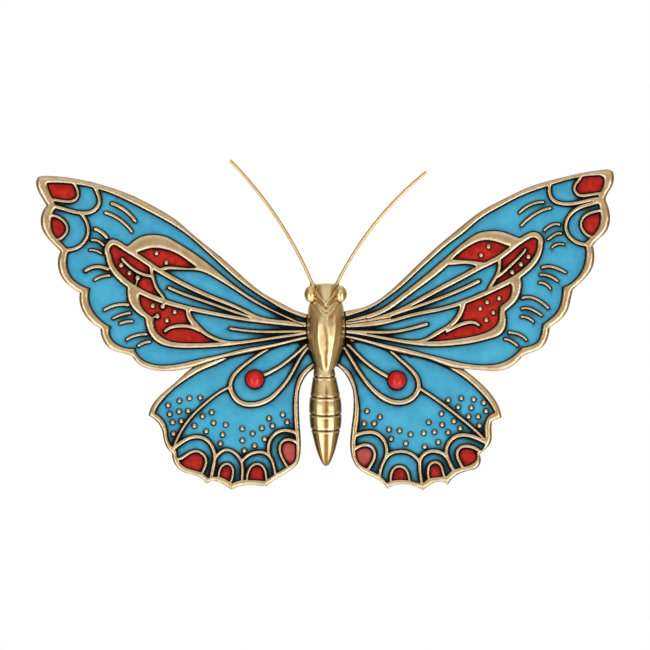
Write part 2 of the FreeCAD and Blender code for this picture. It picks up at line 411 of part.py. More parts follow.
hindwing_right_shares = {
    "outline": [
        [(0.027, -0.006), (0.058, -0.002), (0.090, 0.000), (0.140, -0.007), (0.20, -0.020), (0.32, -0.045),
         (0.43, -0.089), (0.490, -0.129),
         (0.540, -0.172), (0.584, -0.224), (0.602, -0.262), (0.607, -0.287)],
        [(0.607, -0.287), (0.5745, -0.299)],
        [(0.5745, -0.299), (0.572, -0.3185), (0.5727, -0.345), (0.571, -0.3685), (0.5477, -0.399),
         (0.529, -0.4146)],
        [(0.529, -0.4146), (0.535, -0.434), (0.5265, -0.457), (0.482, -0.474), (0.44, -0.495),
         (0.421, -0.5205)],
        [(0.421, -0.5205), (0.386, -0.510), (0.3477, -0.528), (0.334, -0.5396)],
        [(0.334, -0.5396), (0.3015, -0.524), (0.2554, -0.5185), (0.210, -0.5345)],
        [(0.210, -0.5345), (0.182, -0.505), (0.132, -0.480), (0.0977, -0.449), (0.0855, -0.420),
         (0.0812, -0.385), (0.0835, -0.340), (0.0888, -0.2975), (0.0925, -0.260), (0.0928, -0.215),
         (0.0891, -0.1887), (0.081, -0.1655), (0.0694, -0.1447), (0.0579, -0.1285), (0.0463, -0.117),
         (0.027, -0.106)],
    ],
    "field": [
        [(0.058, -0.034), (0.10, -0.022), (0.20, -0.034), (0.32, -0.068), (0.4246, -0.1155),
         (0.482, -0.151),
         (0.536, -0.201), (0.5785, -0.257), (0.584, -0.2685)],
        [(0.584, -0.2685), (0.5554, -0.2915), (0.5477, -0.326), (0.5496, -0.352), (0.548, -0.385),
         (0.520, -0.408)],
        [(0.520, -0.408), (0.521, -0.430), (0.494, -0.4520), (0.4477, -0.465), (0.417, -0.489)],
        [(0.417, -0.489), (0.384, -0.4930), (0.3515, -0.500), (0.334, -0.517)],
        [(0.334, -0.517), (0.290, -0.506), (0.2554, -0.5020), (0.209, -0.5137)],
        [(0.209, -0.5137), (0.178, -0.484), (0.142, -0.4654), (0.113, -0.4450), (0.1015, -0.410),
         (0.1035, -0.357),
         (0.1104, -0.307), (0.1134, -0.244), (0.1068, -0.2049), (0.0995, -0.1701), (0.0903, -0.147),
         (0.0799, -0.1285), (0.066, -0.1146), (0.0498, -0.103), (0.0385, -0.0935)],
        [(0.0385, -0.0935), (0.0470, -0.0752), (0.0550, -0.0567), (0.058, -0.044), (0.058, -0.034)],
    ],
    "plates": [],
    "loops": [],
    "ribs": [
        ([(0.160, -0.022), (0.213, -0.0473), (0.244, -0.0742), (0.282, -0.1088), (0.313, -0.1454),
          (0.320, -0.1685), (0.317, -0.1915), (0.286, -0.226), (0.259, -0.2338), (0.232, -0.232),
          (0.1785, -0.205), (0.132, -0.155), (0.0938, -0.0973), (0.045, -0.0210)],
         [0.009, 0.012, 0.018, 0.018, 0.013, 0.010]),
        ([(0.217, -0.147), (0.194, -0.134), (0.14, -0.0973), (0.0938, -0.053), (0.045, -0.006)],
         [0.013, 0.010]),
        ([(0.322, -0.184), (0.348, -0.201), (0.4015, -0.2377), (0.4554, -0.28), (0.509, -0.324),
          (0.551, -0.366)], [0.011, 0.009]),
        ([(0.560, -0.377), (0.5246, -0.359), (0.4746, -0.347), (0.4515, -0.351), (0.421, -0.38),
          (0.416, -0.399),
          (0.4246, -0.4377), (0.447, -0.482)], [0.014]),
        ([(0.535, -0.406), (0.5015, -0.3877), (0.482, -0.3858), (0.463, -0.3915), (0.4535, -0.408),
          (0.4545, -0.422), (0.474, -0.463)], [0.012]),
        ([(0.416, -0.424), (0.394, -0.407), (0.3746, -0.403), (0.3554, -0.405), (0.3285, -0.426),
          (0.3235, -0.455), (0.3265, -0.490), (0.331, -0.522)], [0.013]),
        ([(0.357, -0.505), (0.3525, -0.470), (0.361, -0.4473), (0.3746, -0.4415), (0.39, -0.4454),
          (0.4025, -0.468), (0.412, -0.498)], [0.010]),
        ([(0.324, -0.449), (0.294, -0.4127), (0.271, -0.405), (0.2477, -0.405), (0.2246, -0.411),
          (0.1996, -0.4377), (0.184, -0.495)], [0.012]),
        ([(0.223, -0.515), (0.2246, -0.484), (0.234, -0.4640), (0.2535, -0.456), (0.272, -0.4630),
          (0.284, -0.484), (0.289, -0.515)], [0.010]),
        ([(0.094, -0.352), (0.121, -0.3415), (0.144, -0.3377), (0.167, -0.3396), (0.1996, -0.3665),
          (0.209, -0.400), (0.2045, -0.426)], [0.013]),
        ([(0.092, -0.400), (0.121, -0.384), (0.14, -0.382), (0.158, -0.390), (0.167, -0.4185),
          (0.158, -0.443), (0.140, -0.476)], [0.012]),
    ],
    "dashes": [],
    "granules": [
        (0.423, -0.2254), (0.4677, -0.219), (0.511, -0.223), (0.5458, -0.2346), (0.4573, -0.25),
        (0.5027, -0.252), (0.5535, -0.264), (0.493, -0.2827), (0.5265, -0.2827), (0.5308, -0.314),
        (0.399, -0.273), (0.4423, -0.299), (0.4642, -0.3235), (0.3546, -0.303), (0.4015, -0.3115),
        (0.422, -0.3377), (0.3373, -0.3404), (0.3746, -0.3365), (0.388, -0.3715), (0.341, -0.3877),
        (0.292, -0.3446), (0.2535, -0.332), (0.217, -0.328), (0.2246, -0.3608), (0.2754, -0.376),
        (0.1854, -0.2846), (0.1658, -0.307), (0.1304, -0.307), (0.1408, -0.2638),
    ],
    "red_seeds": [(0.49, -0.4185), (0.379, -0.470), (0.2546, -0.484), (0.130, -0.420)],
    "bead": (0.244, -0.1575),
}

# Antennae: root, bow and tip of each wire, as shares
antenna_shares = {
    "left": [(0.1653, 0.3993), (0.333, 0.606)],
    "right": [(0.1795, 0.399), (0.349, 0.566)],
}

# Body outlines: place along the length from top to tip, then width, each a share of its piece
thorax_front_shares = [
    (0.0, 0.78), (0.04, 0.885), (0.16, 0.96), (0.34, 1.0), (0.47, 0.995), (0.64, 0.905),
    (0.75, 0.76), (0.84, 0.58), (0.94, 0.33), (1.0, 0.05),
]
thorax_shoulder_share = 0.66
thorax_widest_share = 0.42
wing_screw_shares = [0.25, 0.76]
abdomen_top_share = 0.56
abdomen_ring_shares = [(0.158, 0.63), (0.352, 0.89), (0.515, 0.965), (0.66, 0.87)]
abdomen_tail_shares = [(0.797, 0.715), (0.905, 0.43), (0.97, 0.19), (1.0, 0.0)]
head_profile_shares = [
    (0.0, 0.0), (0.015, 0.40), (0.06, 0.68), (0.15, 0.88), (0.30, 0.98), (0.50, 1.0), (0.72, 0.90),
]

# Small features of the body
ring_groove_depth = 0.55
ring_groove_half_width = 0.55
ring_bulge = 0.30


def vector(x, y, z):
    return FreeCAD.Vector(x, y, z)


def curve_through(points):
    """An edge through the points: straight for two, a smooth curve for more."""
    if len(points) == 2:
        return Part.LineSegment(points[0], points[1]).toShape()
    curve = Part.BSplineCurve()
    curve.interpolate(points)
    return curve.toShape()


def closed_face(runs):
    """A flat face inside runs of points that meet end to end; an open end is closed straight."""
    edges = [curve_through(run) for run in runs]
    first, last = runs[0][0], runs[-1][-1]
    if (last - first).Length > 0:
        edges.append(Part.LineSegment(last, first).toShape())
    return Part.Face(Part.Wire(edges))


class WingPlane:
    """Turns share pairs of one side's wings into points on the flat plane y = 0."""

    def __init__(self, side):
        self.side = side
        self.span = half_span / math.cos(math.radians(wing_dihedral))

    def point(self, pair):
        return vector(self.side * pair[0] * self.span, 0, pair[1] * half_span)

    def run(self, pairs):
        return [self.point(pair) for pair in pairs]

    def area(self, runs):
        return closed_face([self.run(pairs) for pairs in runs])

    def plate(self, outer_runs, hole_runs):
        whole = self.area(outer_runs)
        return whole.cut(self.area(hole_runs)) if hole_runs else whole

    def disc(self, pair, radius):
        circle = Part.Circle(self.point(pair), vector(0, 1, 0), radius)
        return Part.Face(Part.Wire(circle.toShape()))

    def band(self, pairs, width_shares, halves=1):
        """A rib of varying width along a path, in one face or in two that share an edge."""
        curve = Part.BSplineCurve()
        curve.interpolate(self.run(pairs))
        steps = band_steps * (len(pairs) - 1)
        left, right, centres = [], [], []
        for step in range(steps + 1):
            way = step / steps
            at = curve.FirstParameter + way * (curve.LastParameter - curve.FirstParameter)
            along = curve.tangent(at)[0]
            across = vector(along.z, 0, -along.x).normalize()
            half_width = 0.5 * share_at(width_shares, way) * half_span
            centres.append(curve.value(at))
            left.append(centres[-1] + across * half_width)
            right.append(centres[-1] - across * half_width)
        start_tip = centres[0] - curve.tangent(curve.FirstParameter)[0] * (0.5 * width_shares[0] * half_span)
        end_tip = centres[-1] + curve.tangent(curve.LastParameter)[0] * (0.5 * width_shares[-1] * half_span)
        faces = []
        cuts = [round(steps * part / halves) for part in range(halves + 1)]
        for begin, end in zip(cuts[:-1], cuts[1:]):
            edges = [curve_through(left[begin:end + 1]), curve_through(right[begin:end + 1])]
            edges.append(rib_end(right[begin], start_tip, left[begin], begin == 0))
            edges.append(rib_end(left[end], end_tip, right[end], end == steps))
            faces.append(Part.Face(Part.Wire(Part.__sortEdges__(edges))))
        return faces


def rib_end(one, tip, other, rounded):
    if rounded:
        return Part.Arc(one, tip, other).toShape()
    return Part.LineSegment(one, other).toShape()


def share_at(shares, way):
    """The value at a fraction of the way along an evenly spaced list."""
    if len(shares) == 1:
        return shares[0]
    place = way * (len(shares) - 1)
    low = min(int(place), len(shares) - 2)
    return shares[low] + (place - low) * (shares[low + 1] - shares[low])


def place_wing(shape, side):
    """Tips the wing forward about the upright line where the two wing planes meet."""
    shape.rotate(vector(0, forewing_front, 0), vector(0, 0, 1), -side * wing_dihedral)
    return shape


def wing_cells(plane, shares):
    """The flat areas that the enamel fills: the field less every raised feature."""
    raised = []
    for outer_runs, hole_runs in shares["plates"]:
        raised.append(plane.plate(outer_runs, hole_runs))
    for pairs, width_shares in shares["loops"]:
        raised += plane.band(pairs, width_shares, halves=2)
    for pairs, width_shares in shares["ribs"] + shares["dashes"]:
        raised += plane.band(pairs, width_shares)
    for pair in shares["granules"]:
        raised.append(plane.disc(pair, granule_radius))
    if "bead" in shares:
        raised.append(plane.disc(shares["bead"], bead_radius + fit_clearance))
    cells = plane.area(shares["field"]).cut(raised)
    smallest = granule_radius ** 2
    return [cell for cell in cells.Faces if cell.Area > smallest]


def holds(cell, plane, pairs):
    return any(cell.isInside(plane.point(pair), fit_clearance, True) for pair in pairs)


def root_pad(side, back, low, high):
    """The block under the thorax that brings a wing's root down to the spine plate."""
    inner = keel_half_width + root_gap
    x_low = inner if side > 0 else -root_reach
    front = back - floor_thickness
    return Part.makeBox(root_reach - inner, seat_plane - front, high - low, vector(x_low, front, low))


def make_wing(shares, side, back, pad_range):
    """One wing's casting with its turquoise and red fillings, in place."""
    plane = WingPlane(side)
    floor = back - floor_thickness
    cells = wing_cells(plane, shares)
    slab = plane.area(shares["outline"])
    slab.translate(vector(0, back, 0))
    casting = slab.extrude(vector(0, -wing_thickness, 0))
    pockets, turquoise, red = [], [], []
    for cell in cells:
        base = cell.copy()
        base.translate(vector(0, floor, 0))
        pockets.append(base.extrude(vector(0, -relief_height, 0)))
        filling = base.extrude(vector(0, -enamel_depth, 0))
        (red if holds(cell, plane, shares["red_seeds"]) else turquoise).append(filling)
    casting = casting.cut(pockets)
    if "bead" in shares:
        seat = plane.point(shares["bead"]) + vector(0, floor, 0)
        casting = casting.cut(Part.makeCylinder(bead_radius + fit_clearance, relief_height + overrun,
                                                seat, vector(0, -1, 0)))
    casting = place_wing(casting, side)
    casting = casting.fuse(root_pad(side, back, *pad_range))
    fillings = [place_wing(Part.makeCompound(group), side) for group in (turquoise, red)]
    return casting, fillings[0], fillings[1]


def turned(profile_runs, axis_depth):
    """A solid of revolution about the upright axis from runs of (radius, height) points."""
    runs = [[vector(r, -axis_depth, z) for r, z in pairs] for pairs in profile_runs]
    return closed_face(runs).revolve(vector(0, -axis_depth, 0), vector(0, 0, 1), 360)


def box_between(low, high):
    return Part.makeBox(high[0] - low[0], high[1] - low[1], high[2] - low[2], vector(*low))


def front_of_seat(shape):
    """Cuts a body piece flat where it sits against the spine plate."""
    bounds = shape.BoundBox
    low = (bounds.XMin - overrun, bounds.YMin - overrun, bounds.ZMin - overrun)
    high = (bounds.XMax + overrun, seat_plane, bounds.ZMax + overrun)
    return shape.common(box_between(low, high))


def along(top, bottom, share):
    return top + share * (bottom - top)


def abdomen_form(extra):
    """The ringed spindle, larger all round by extra; the socket above it is the same form."""
    def place(share, width):
        return (width * abdomen_radius + extra, along(abdomen_top, abdomen_tip, share))
    top_corner = place(0.0, abdomen_top_share)
    runs = [[(0.0, top_corner[1] + extra), (top_corner[0], top_corner[1] + extra)]]
    start = runs[0][-1]
    for share, width in abdomen_ring_shares:
        radius, height = place(share, width)
        upper = (radius, height + ring_groove_half_width)
        middle = (0.5 * (start[0] + upper[0]) + ring_bulge, 0.5 * (start[1] + upper[1]))
        lower = (radius, height - ring_groove_half_width)
        runs.append([start, middle, upper])
        runs.append([upper, (radius - ring_groove_depth, height)])
        runs.append([(radius - ring_groove_depth, height), lower])
        start = lower
    tail = [place(share, width) for share, width in abdomen_tail_shares]
    tail[-1] = (0.0, tail[-1][1] - extra)
    runs.append([start] + tail)
    return turned(runs, body_axis_depth)


def head_form(extra):
    """The domed head with its neck, which is a tenon in the thorax."""
    neck_top = along(head_top, neck_bottom, head_profile_shares[-1][0])
    dome = []
    for share, width in head_profile_shares:
        grown = extra if width > 0 else 0.0
        dome.append((width * head_radius + grown, along(head_top, neck_bottom, share)))
    dome[0] = (0.0, head_top + extra)
    shoulder = (neck_radius + extra, neck_top - (head_radius - neck_radius))
    foot = (neck_radius + extra, neck_bottom - extra)
    return turned([dome, [dome[-1], shoulder], [shoulder, foot], [foot, (0.0, foot[1])]], body_axis_depth)


def eye_centre(side):
    return vector(side * eye_spread, -(body_axis_depth + eye_forward), eye_height)


def eye_balls(extra):
    return [Part.makeSphere(eye_radius + extra, eye_centre(side)) for side in (-1, 1)]


def antenna_arc(side_name, side):
    """The middle line of a wire bent to one arc, leaning forward from the head to its tip."""
    places = [(antenna_root_spread[side_name], antenna_root_height)]
    places += [(s * half_span, z * half_span) for s, z in antenna_shares[side_name]]
    points = []
    for x, z in places:
        lean = math.tan(math.radians(antenna_lean)) * (z - antenna_root_height)
        points.append(vector(side * x, antenna_set_back - body_axis_depth - lean, z))
    return Part.Arc(*points)


def antenna_wire(side_name, side, extra):
    arc = antenna_arc(side_name, side)
    start = arc.tangent(arc.FirstParameter)[0]
    circle = Part.Circle(arc.value(arc.FirstParameter), start, antenna_diameter / 2 + extra)
    return Part.Wire(arc.toShape()).makePipe(Part.Face(Part.Wire(circle.toShape())))


def antenna_socket(side_name, side):
    """The boss on the head that a wire is set in."""
    arc = antenna_arc(side_name, side)
    start = arc.tangent(arc.FirstParameter)[0]
    return Part.makeCylinder(antenna_socket_radius, antenna_socket_length,
                             arc.value(arc.FirstParameter), start)


def flat_screw(x, z, bite, extra):
    """A countersunk screw whose head is flush with the back of the spine plate."""
    back = vector(x, spine_back, z)
    forward = vector(0, -1, 0)
    head_radius_here = screw_head_diameter / 2 + extra
    shank_radius = screw_diameter / 2 + extra
    cone = Part.makeCone(head_radius_here, shank_radius, screw_head_height, back, forward)
    shank = Part.makeCylinder(shank_radius, spine_thickness + bite, back, forward)
    return cone.fuse(shank).removeSplitter()


def pan_screw(z, extra):
    """A round headed screw through a hanger foot and the spine plate into the body."""
    seat = vector(0, spine_back + strap_thickness, z)
    reach = strap_thickness + spine_thickness + body_screw_bite
    shank = Part.makeCylinder(screw_diameter / 2 + extra, reach, seat, vector(0, -1, 0))
    if extra > 0:
        return shank
    head = Part.makeCylinder(screw_head_diameter / 2, screw_head_height, seat, vector(0, 1, 0))
    return head.fuse(shank).removeSplitter()


# Where the screws go, from the pieces that they hold
screw_column = (keel_half_width + root_gap + root_reach) / 2
wing_screw_heights = [along(*pad, share)
                      for pad in (forewing_pad, hindwing_pad) for share in wing_screw_shares]
strap_bottom = key_rise - strap_below_key
strap_top = strap_bottom + strap_plateau
hanger_screw_heights = [strap_bottom - strap_thickness - strap_foot_length / 2,
                        strap_top + strap_thickness + strap_foot_length / 2]


def wing_screws(extra):
    return [flat_screw(side * screw_column, z, wing_screw_bite, extra)
            for z in wing_screw_heights for side in (-1, 1)]


def body_screws(extra):
    return [flat_screw(0, z, body_screw_bite, extra) for z in (key_rise, abdomen_screw_height)]


def hanger_screws(extra):
    return [pan_screw(z, extra) for z in hanger_screw_heights]


def rounded_bar(half_width, low, high, back, front):
    """An upright bar with round ends, for the spine plate."""
    box = box_between((-half_width, front, low + half_width), (half_width, back, high - half_width))
    for z in (low + half_width, high - half_width):
        box = box.fuse(Part.makeCylinder(half_width, back - front, vector(0, front, z), vector(0, 1, 0)))
    return box.removeSplitter()


def make_spine_plate():
    bar = rounded_bar(spine_half_width, spine_bottom, spine_top, spine_back, seat_plane)
    saddle = box_between((-saddle_half_width, seat_plane, saddle_bottom),
                         (saddle_half_width, spine_back, saddle_top))
    plate = bar.fuse(saddle).removeSplitter()
    return plate.cut(wing_screws(fit_clearance) + body_screws(fit_clearance) + hanger_screws(fit_clearance))


def make_hanger_plate():
    """A bent strap with a keyhole; the wall screw's head goes in behind it."""
    foot_back = spine_back + strap_thickness
    profile = [
        (0.0, strap_bottom - strap_thickness), (0.0, strap_top + strap_thickness),
        (foot_back, strap_top + strap_thickness),
        (foot_back, strap_top + strap_thickness + strap_foot_length),
        (spine_back, strap_top + strap_thickness + strap_foot_length), (spine_back, strap_top),
        (strap_face, strap_top), (strap_face, strap_bottom), (spine_back, strap_bottom),
        (spine_back, strap_bottom - strap_thickness - strap_foot_length),
        (foot_back, strap_bottom - strap_thickness - strap_foot_length),
        (foot_back, strap_bottom - strap_thickness),
    ]
    corners = [vector(-strap_half_width, y, z) for y, z in profile]
    strap = Part.Face(Part.makePolygon(corners + corners[:1])).extrude(vector(2 * strap_half_width, 0, 0))
    for side in (-1, 1):
        low_x = min(side * strap_neck_half_width, side * (strap_half_width + overrun))
        for low_z, high_z in ((strap_top, strap_top + 2 * strap_foot_length),
                              (strap_bottom - 2 * strap_foot_length, strap_bottom)):
            width = strap_half_width + overrun - strap_neck_half_width
            strap = strap.cut(Part.makeBox(width, -spine_back + 2 * overrun, high_z - low_z,
                                           vector(low_x, spine_back - overrun, low_z)))
    through = vector(0, -(strap_thickness + 2 * overrun), 0)
    entry = Part.makeCylinder(key_entry_radius, -through.y, vector(0, overrun, key_rise), vector(0, -1, 0))
    slot_top = key_rise + key_slot_rise
    slot = box_between((-key_slot_half_width, overrun + through.y, key_rise),
                       (key_slot_half_width, overrun, slot_top))
    slot_end = Part.makeCylinder(key_slot_half_width, -through.y, vector(0, overrun, slot_top),
                                 vector(0, -1, 0))
    return strap.cut([entry, slot, slot_end] + hanger_screws(fit_clearance))


def keel_box():
    return box_between((-keel_half_width, -3 * thorax_radius, 2 * thorax_tip),
                       (keel_half_width, overrun, 2 * thorax_top))


def make_thorax():
    """A shield shaped front on a barrel, over the wing roots, with a keel down to the spine plate."""
    length = thorax_top - thorax_tip
    edge = [(share * length, width * thorax_radius) for share, width in thorax_front_shares]
    right = [vector(width, 0, thorax_top - down) for down, width in edge]
    left = [vector(-width, 0, thorax_top - down) for down, width in edge]
    front = closed_face([left[::-1], [left[0], right[0]], right])
    depth = body_axis_depth + 2 * thorax_radius
    outline = front.extrude(vector(0, -depth, 0))
    barrel = turned([[(0.0, thorax_top), (thorax_shoulder_share * thorax_radius, thorax_top)],
                     [(thorax_shoulder_share * thorax_radius, thorax_top),
                      (thorax_radius, along(thorax_top, thorax_tip, thorax_widest_share)),
                      (thorax_tip_radius, thorax_tip)],
                     [(thorax_tip_radius, thorax_tip), (0.0, thorax_tip)]], body_axis_depth)
    thorax = front_of_seat(outline.common(barrel))
    for side in (-1, 1):
        x_low = 0 if side > 0 else -3 * thorax_radius
        pocket = Part.makeBox(3 * thorax_radius, -forewing_front + wing_gap, wing_pocket_top - 2 * thorax_tip,
                              vector(x_low, forewing_front - wing_gap, 2 * thorax_tip))
        thorax = thorax.cut(place_wing(pocket, side).cut(keel_box()))
    thorax = thorax.cut([abdomen_form(fit_clearance), head_form(fit_clearance)])
    thorax = thorax.cut(eye_balls(fit_clearance))
    thorax = thorax.cut(body_screws(fit_clearance) + hanger_screws(fit_clearance))
    return max(thorax.Solids, key=lambda solid: solid.Volume)


def make_head():
    sides = (("left", -1), ("right", 1))
    head = front_of_seat(head_form(0)).fuse([antenna_socket(name, side) for name, side in sides])
    wires = [antenna_wire(name, side, fit_clearance) for name, side in sides]
    return head.cut(eye_balls(fit_clearance) + wires + hanger_screws(fit_clearance))


def bumper_form(extra):
    foot = Part.makeCylinder(bumper_radius, -seat_plane, vector(0, 0, bumper_height), vector(0, -1, 0))
    stem = Part.makeCylinder(bumper_stem_radius + extra, -seat_plane + bumper_stem_length + extra,
                             vector(0, 0, bumper_height), vector(0, -1, 0))
    return foot.fuse(stem).removeSplitter()


def make_abdomen():
    abdomen = front_of_seat(abdomen_form(0))
    return abdomen.cut([bumper_form(fit_clearance)] + body_screws(fit_clearance))


def make_bead(shares, side):
    """A glass cabochon seated on the hindwing's floor."""
    plane = WingPlane(side)
    forward = vector(0, -1, 0)
    seat = plane.point(shares["bead"]) + vector(0, seat_plane - floor_thickness, 0)
    girdle = Part.makeCylinder(bead_radius, bead_girdle, seat, forward)
    dome = Part.makeSphere(bead_radius, seat + forward * bead_girdle, forward, 0, 90, 360)
    return place_wing(girdle.fuse(dome).removeSplitter(), side)


def save(name, shape):
    """Writes one node, with the keyhole's round end brought to the origin."""
    placed = shape.copy()
    placed.translate(vector(0, 0, -key_rise))
    for solid in placed.Solids:
        if not solid.isValid():
            print(name, "has a solid that is not valid")
    print(name, len(placed.Solids), "solid(s)", round(placed.Volume, 1), "mm3")
    placed.exportStep("parts/" + name + ".step")


def main():
    os.makedirs("parts", exist_ok=True)
    cleared = wing_screws(fit_clearance) + [abdomen_form(fit_clearance)]
    wings = (
        ("forewing_left", forewing_left_shares, -1, forewing_back, forewing_pad),
        ("forewing_right", forewing_right_shares, 1, forewing_back, forewing_pad),
        ("hindwing_left", hindwing_left_shares, -1, seat_plane, hindwing_pad),
        ("hindwing_right", hindwing_right_shares, 1, seat_plane, hindwing_pad),
    )
    for name, shares, side, back, pad in wings:
        casting, turquoise, red = make_wing(shares, side, back, pad)
        save(name + "_casting", casting.cut(cleared))
        save(name + "_turquoise_enamel", turquoise)
        save(name + "_red_enamel", red)
    save("eyespot_bead_left", make_bead(hindwing_left_shares, -1))
    save("eyespot_bead_right", make_bead(hindwing_right_shares, 1))
    save("thorax", make_thorax())
    save("head", make_head())
    save("abdomen", make_abdomen())
    for name, side in (("left", -1), ("right", 1)):
        save("eye_" + name, Part.makeSphere(eye_radius, eye_centre(side)))
        save("antenna_" + name, antenna_wire(name, side, 0))
    save("spine_plate", make_spine_plate())
    save("hanger_plate", make_hanger_plate())
    save("wing_screws", Part.makeCompound(wing_screws(0)))
    save("body_screws", Part.makeCompound(body_screws(0)))
    save("hanger_screws", Part.makeCompound(hanger_screws(0)))
    save("wall_bumper", bumper_form(0))


main()
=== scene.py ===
import math

import bpy
import numpy as np
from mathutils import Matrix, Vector, noise
from mathutils.geometry import delaunay_2d_cdt
from mathutils.kdtree import KDTree


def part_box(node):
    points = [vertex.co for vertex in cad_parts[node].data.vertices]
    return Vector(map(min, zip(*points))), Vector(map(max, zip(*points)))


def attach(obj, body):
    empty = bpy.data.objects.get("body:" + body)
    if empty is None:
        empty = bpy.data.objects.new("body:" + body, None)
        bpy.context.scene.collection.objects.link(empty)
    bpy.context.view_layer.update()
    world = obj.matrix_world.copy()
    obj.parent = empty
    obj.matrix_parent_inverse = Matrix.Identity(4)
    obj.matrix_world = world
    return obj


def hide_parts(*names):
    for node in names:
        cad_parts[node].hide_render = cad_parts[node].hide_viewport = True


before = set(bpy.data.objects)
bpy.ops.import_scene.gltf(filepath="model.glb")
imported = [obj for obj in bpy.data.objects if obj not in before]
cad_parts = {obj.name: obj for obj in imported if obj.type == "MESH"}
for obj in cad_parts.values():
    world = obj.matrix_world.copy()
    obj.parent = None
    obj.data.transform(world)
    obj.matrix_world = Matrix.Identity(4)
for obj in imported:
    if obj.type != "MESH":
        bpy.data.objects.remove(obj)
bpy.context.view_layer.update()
mm = 0.001
print("frame loaded:", len(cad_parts), "nodes")


# Meshes. Points are in mm until meshObject puts them in metres

def cadPoints(nodeName):
    # welded points and triangles of a CAD node, whose own mesh stays as it is
    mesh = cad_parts[nodeName].data
    mesh.calc_loop_triangles()
    places = np.empty(len(mesh.vertices) * 3)
    mesh.vertices.foreach_get("co", places)
    corners = np.empty(len(mesh.loop_triangles) * 3, np.int64)
    mesh.loop_triangles.foreach_get("vertices", corners)
    keys = np.round(places.reshape(-1, 3) * 1e6).astype(np.int64)      # whole micrometres
    unique, index = np.unique(keys, axis=0, return_inverse=True)
    triangles = index.reshape(-1)[corners].reshape(-1, 3)
    distinct = (triangles != np.roll(triangles, 1, axis=1)).all(axis=1)
    return unique / 1000.0, triangles[distinct]


def meshObject(name, points, faces, attributes=None, material=None, smooth=True):
    # attributes are one number for each point
    mesh = bpy.data.meshes.new(name)
    corners = [list(map(int, face)) for face in faces]
    mesh.from_pydata((np.asarray(points) * mm).tolist(), [], corners)
    for title, values in (attributes or {}).items():
        layer = mesh.attributes.new(title, "FLOAT", "POINT")
        layer.data.foreach_set("value", np.asarray(values, np.float32))
    mesh.polygons.foreach_set("use_smooth", [smooth] * len(mesh.polygons))
    mesh.update()
    if material is not None:
        mesh.materials.append(material)
    made = bpy.data.objects.new(name, mesh)
    bpy.context.scene.collection.objects.link(made)
    return made


def joinParts(parts):
    # (points, faces, attributes) of several shapes as one
    points, faces, attributes, start = [], [], {}, 0
    titles = sorted({title for part in parts for title in part[2]})
    for partPoints, partFaces, partAttributes in parts:
        points.append(np.asarray(partPoints, float))
        faces += [[int(corner) + start for corner in face] for face in partFaces]
        for title in titles:
            values = partAttributes.get(title, np.zeros(len(partPoints)))
            attributes.setdefault(title, []).append(np.asarray(values, float))
        start += len(partPoints)
    joined = {title: np.concatenate(values) for title, values in attributes.items()}
    return np.vstack(points), faces, joined


def ringFaces(rows, around):
    # quads over rings of points, each point's number, and that of the next one round
    grid = np.arange(rows * around).reshape(rows, around)
    after = np.roll(grid, -1, axis=1)
    quads = np.stack([grid[:-1], grid[1:], after[1:], after[:-1]], axis=-1)
    return quads.reshape(-1, 4).tolist(), grid, after


def closedRings(rings, top, bottom):
    # a closed skin over rings from the top down, with a pole at each end
    rows, around = rings.shape[:2]
    faces, grid, after = ringFaces(rows, around)
    faces += [[rows * around, int(grid[0, k]), int(after[0, k])] for k in range(around)]
    faces += [[rows * around + 1, int(after[-1, k]), int(grid[-1, k])] for k in range(around)]
    return np.vstack([rings.reshape(-1, 3), top, bottom]), faces


def shadeByAngle(piece, degrees):
    # sharp edges where faces turn more than this, smooth elsewhere
    mesh = piece.data
    mesh.polygons.foreach_set("use_smooth", [True] * len(mesh.polygons))
    mesh.set_sharp_from_angle(angle=math.radians(degrees))


def place(piece, slotName, *nodeNames):
    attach(piece, "root")
    if nodeNames:
        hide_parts(*nodeNames)


# Lines and curves in one plane

def toLine(x, z, places):
    # mm to a drawn line of (x, z) places
    best = np.full(np.shape(x), 1e3)
    for (x0, z0), (x1, z1) in zip(places[:-1], places[1:]):
        length = (x1 - x0) ** 2 + (z1 - z0) ** 2
        t = np.clip(((x - x0) * (x1 - x0) + (z - z0) * (z1 - z0)) / length, 0, 1)
        best = np.minimum(best, np.hypot(x - x0 - t * (x1 - x0), z - z0 - t * (z1 - z0)))
    return best


def hermite(t, span, start, end, startSlope, endSlope):
    return ((2 * t**3 - 3 * t**2 + 1) * start + (t**3 - 2 * t**2 + t) * span * startSlope
            + (3 * t**2 - 2 * t**3) * end + (t**3 - t**2) * span * endSlope)


def easedRun(points, step):
    # a fine, smooth polyline through the points of an open run
    lengths = np.linalg.norm(np.diff(points, axis=0), axis=1)
    way = np.concatenate([[0], np.cumsum(lengths)])
    slopes = np.empty_like(points)
    runs = np.diff(points, axis=0) / lengths[:, None]
    slopes[0], slopes[-1] = runs[0], runs[-1]
    if len(points) > 2:
        weight = lengths[:-1, None] / (lengths[:-1] + lengths[1:])[:, None]
        slopes[1:-1] = runs[:-1] * (1 - weight) + runs[1:] * weight
    count = max(1, int(round(way[-1] / step)))
    at = np.linspace(0, way[-1], count + 1)
    index = np.clip(np.searchsorted(way, at, side="right") - 1, 0, len(points) - 2)
    t = ((at - way[index]) / lengths[index])[:, None]
    return hermite(t, lengths[index][:, None], points[index], points[index + 1],
                   slopes[index], slopes[index + 1])


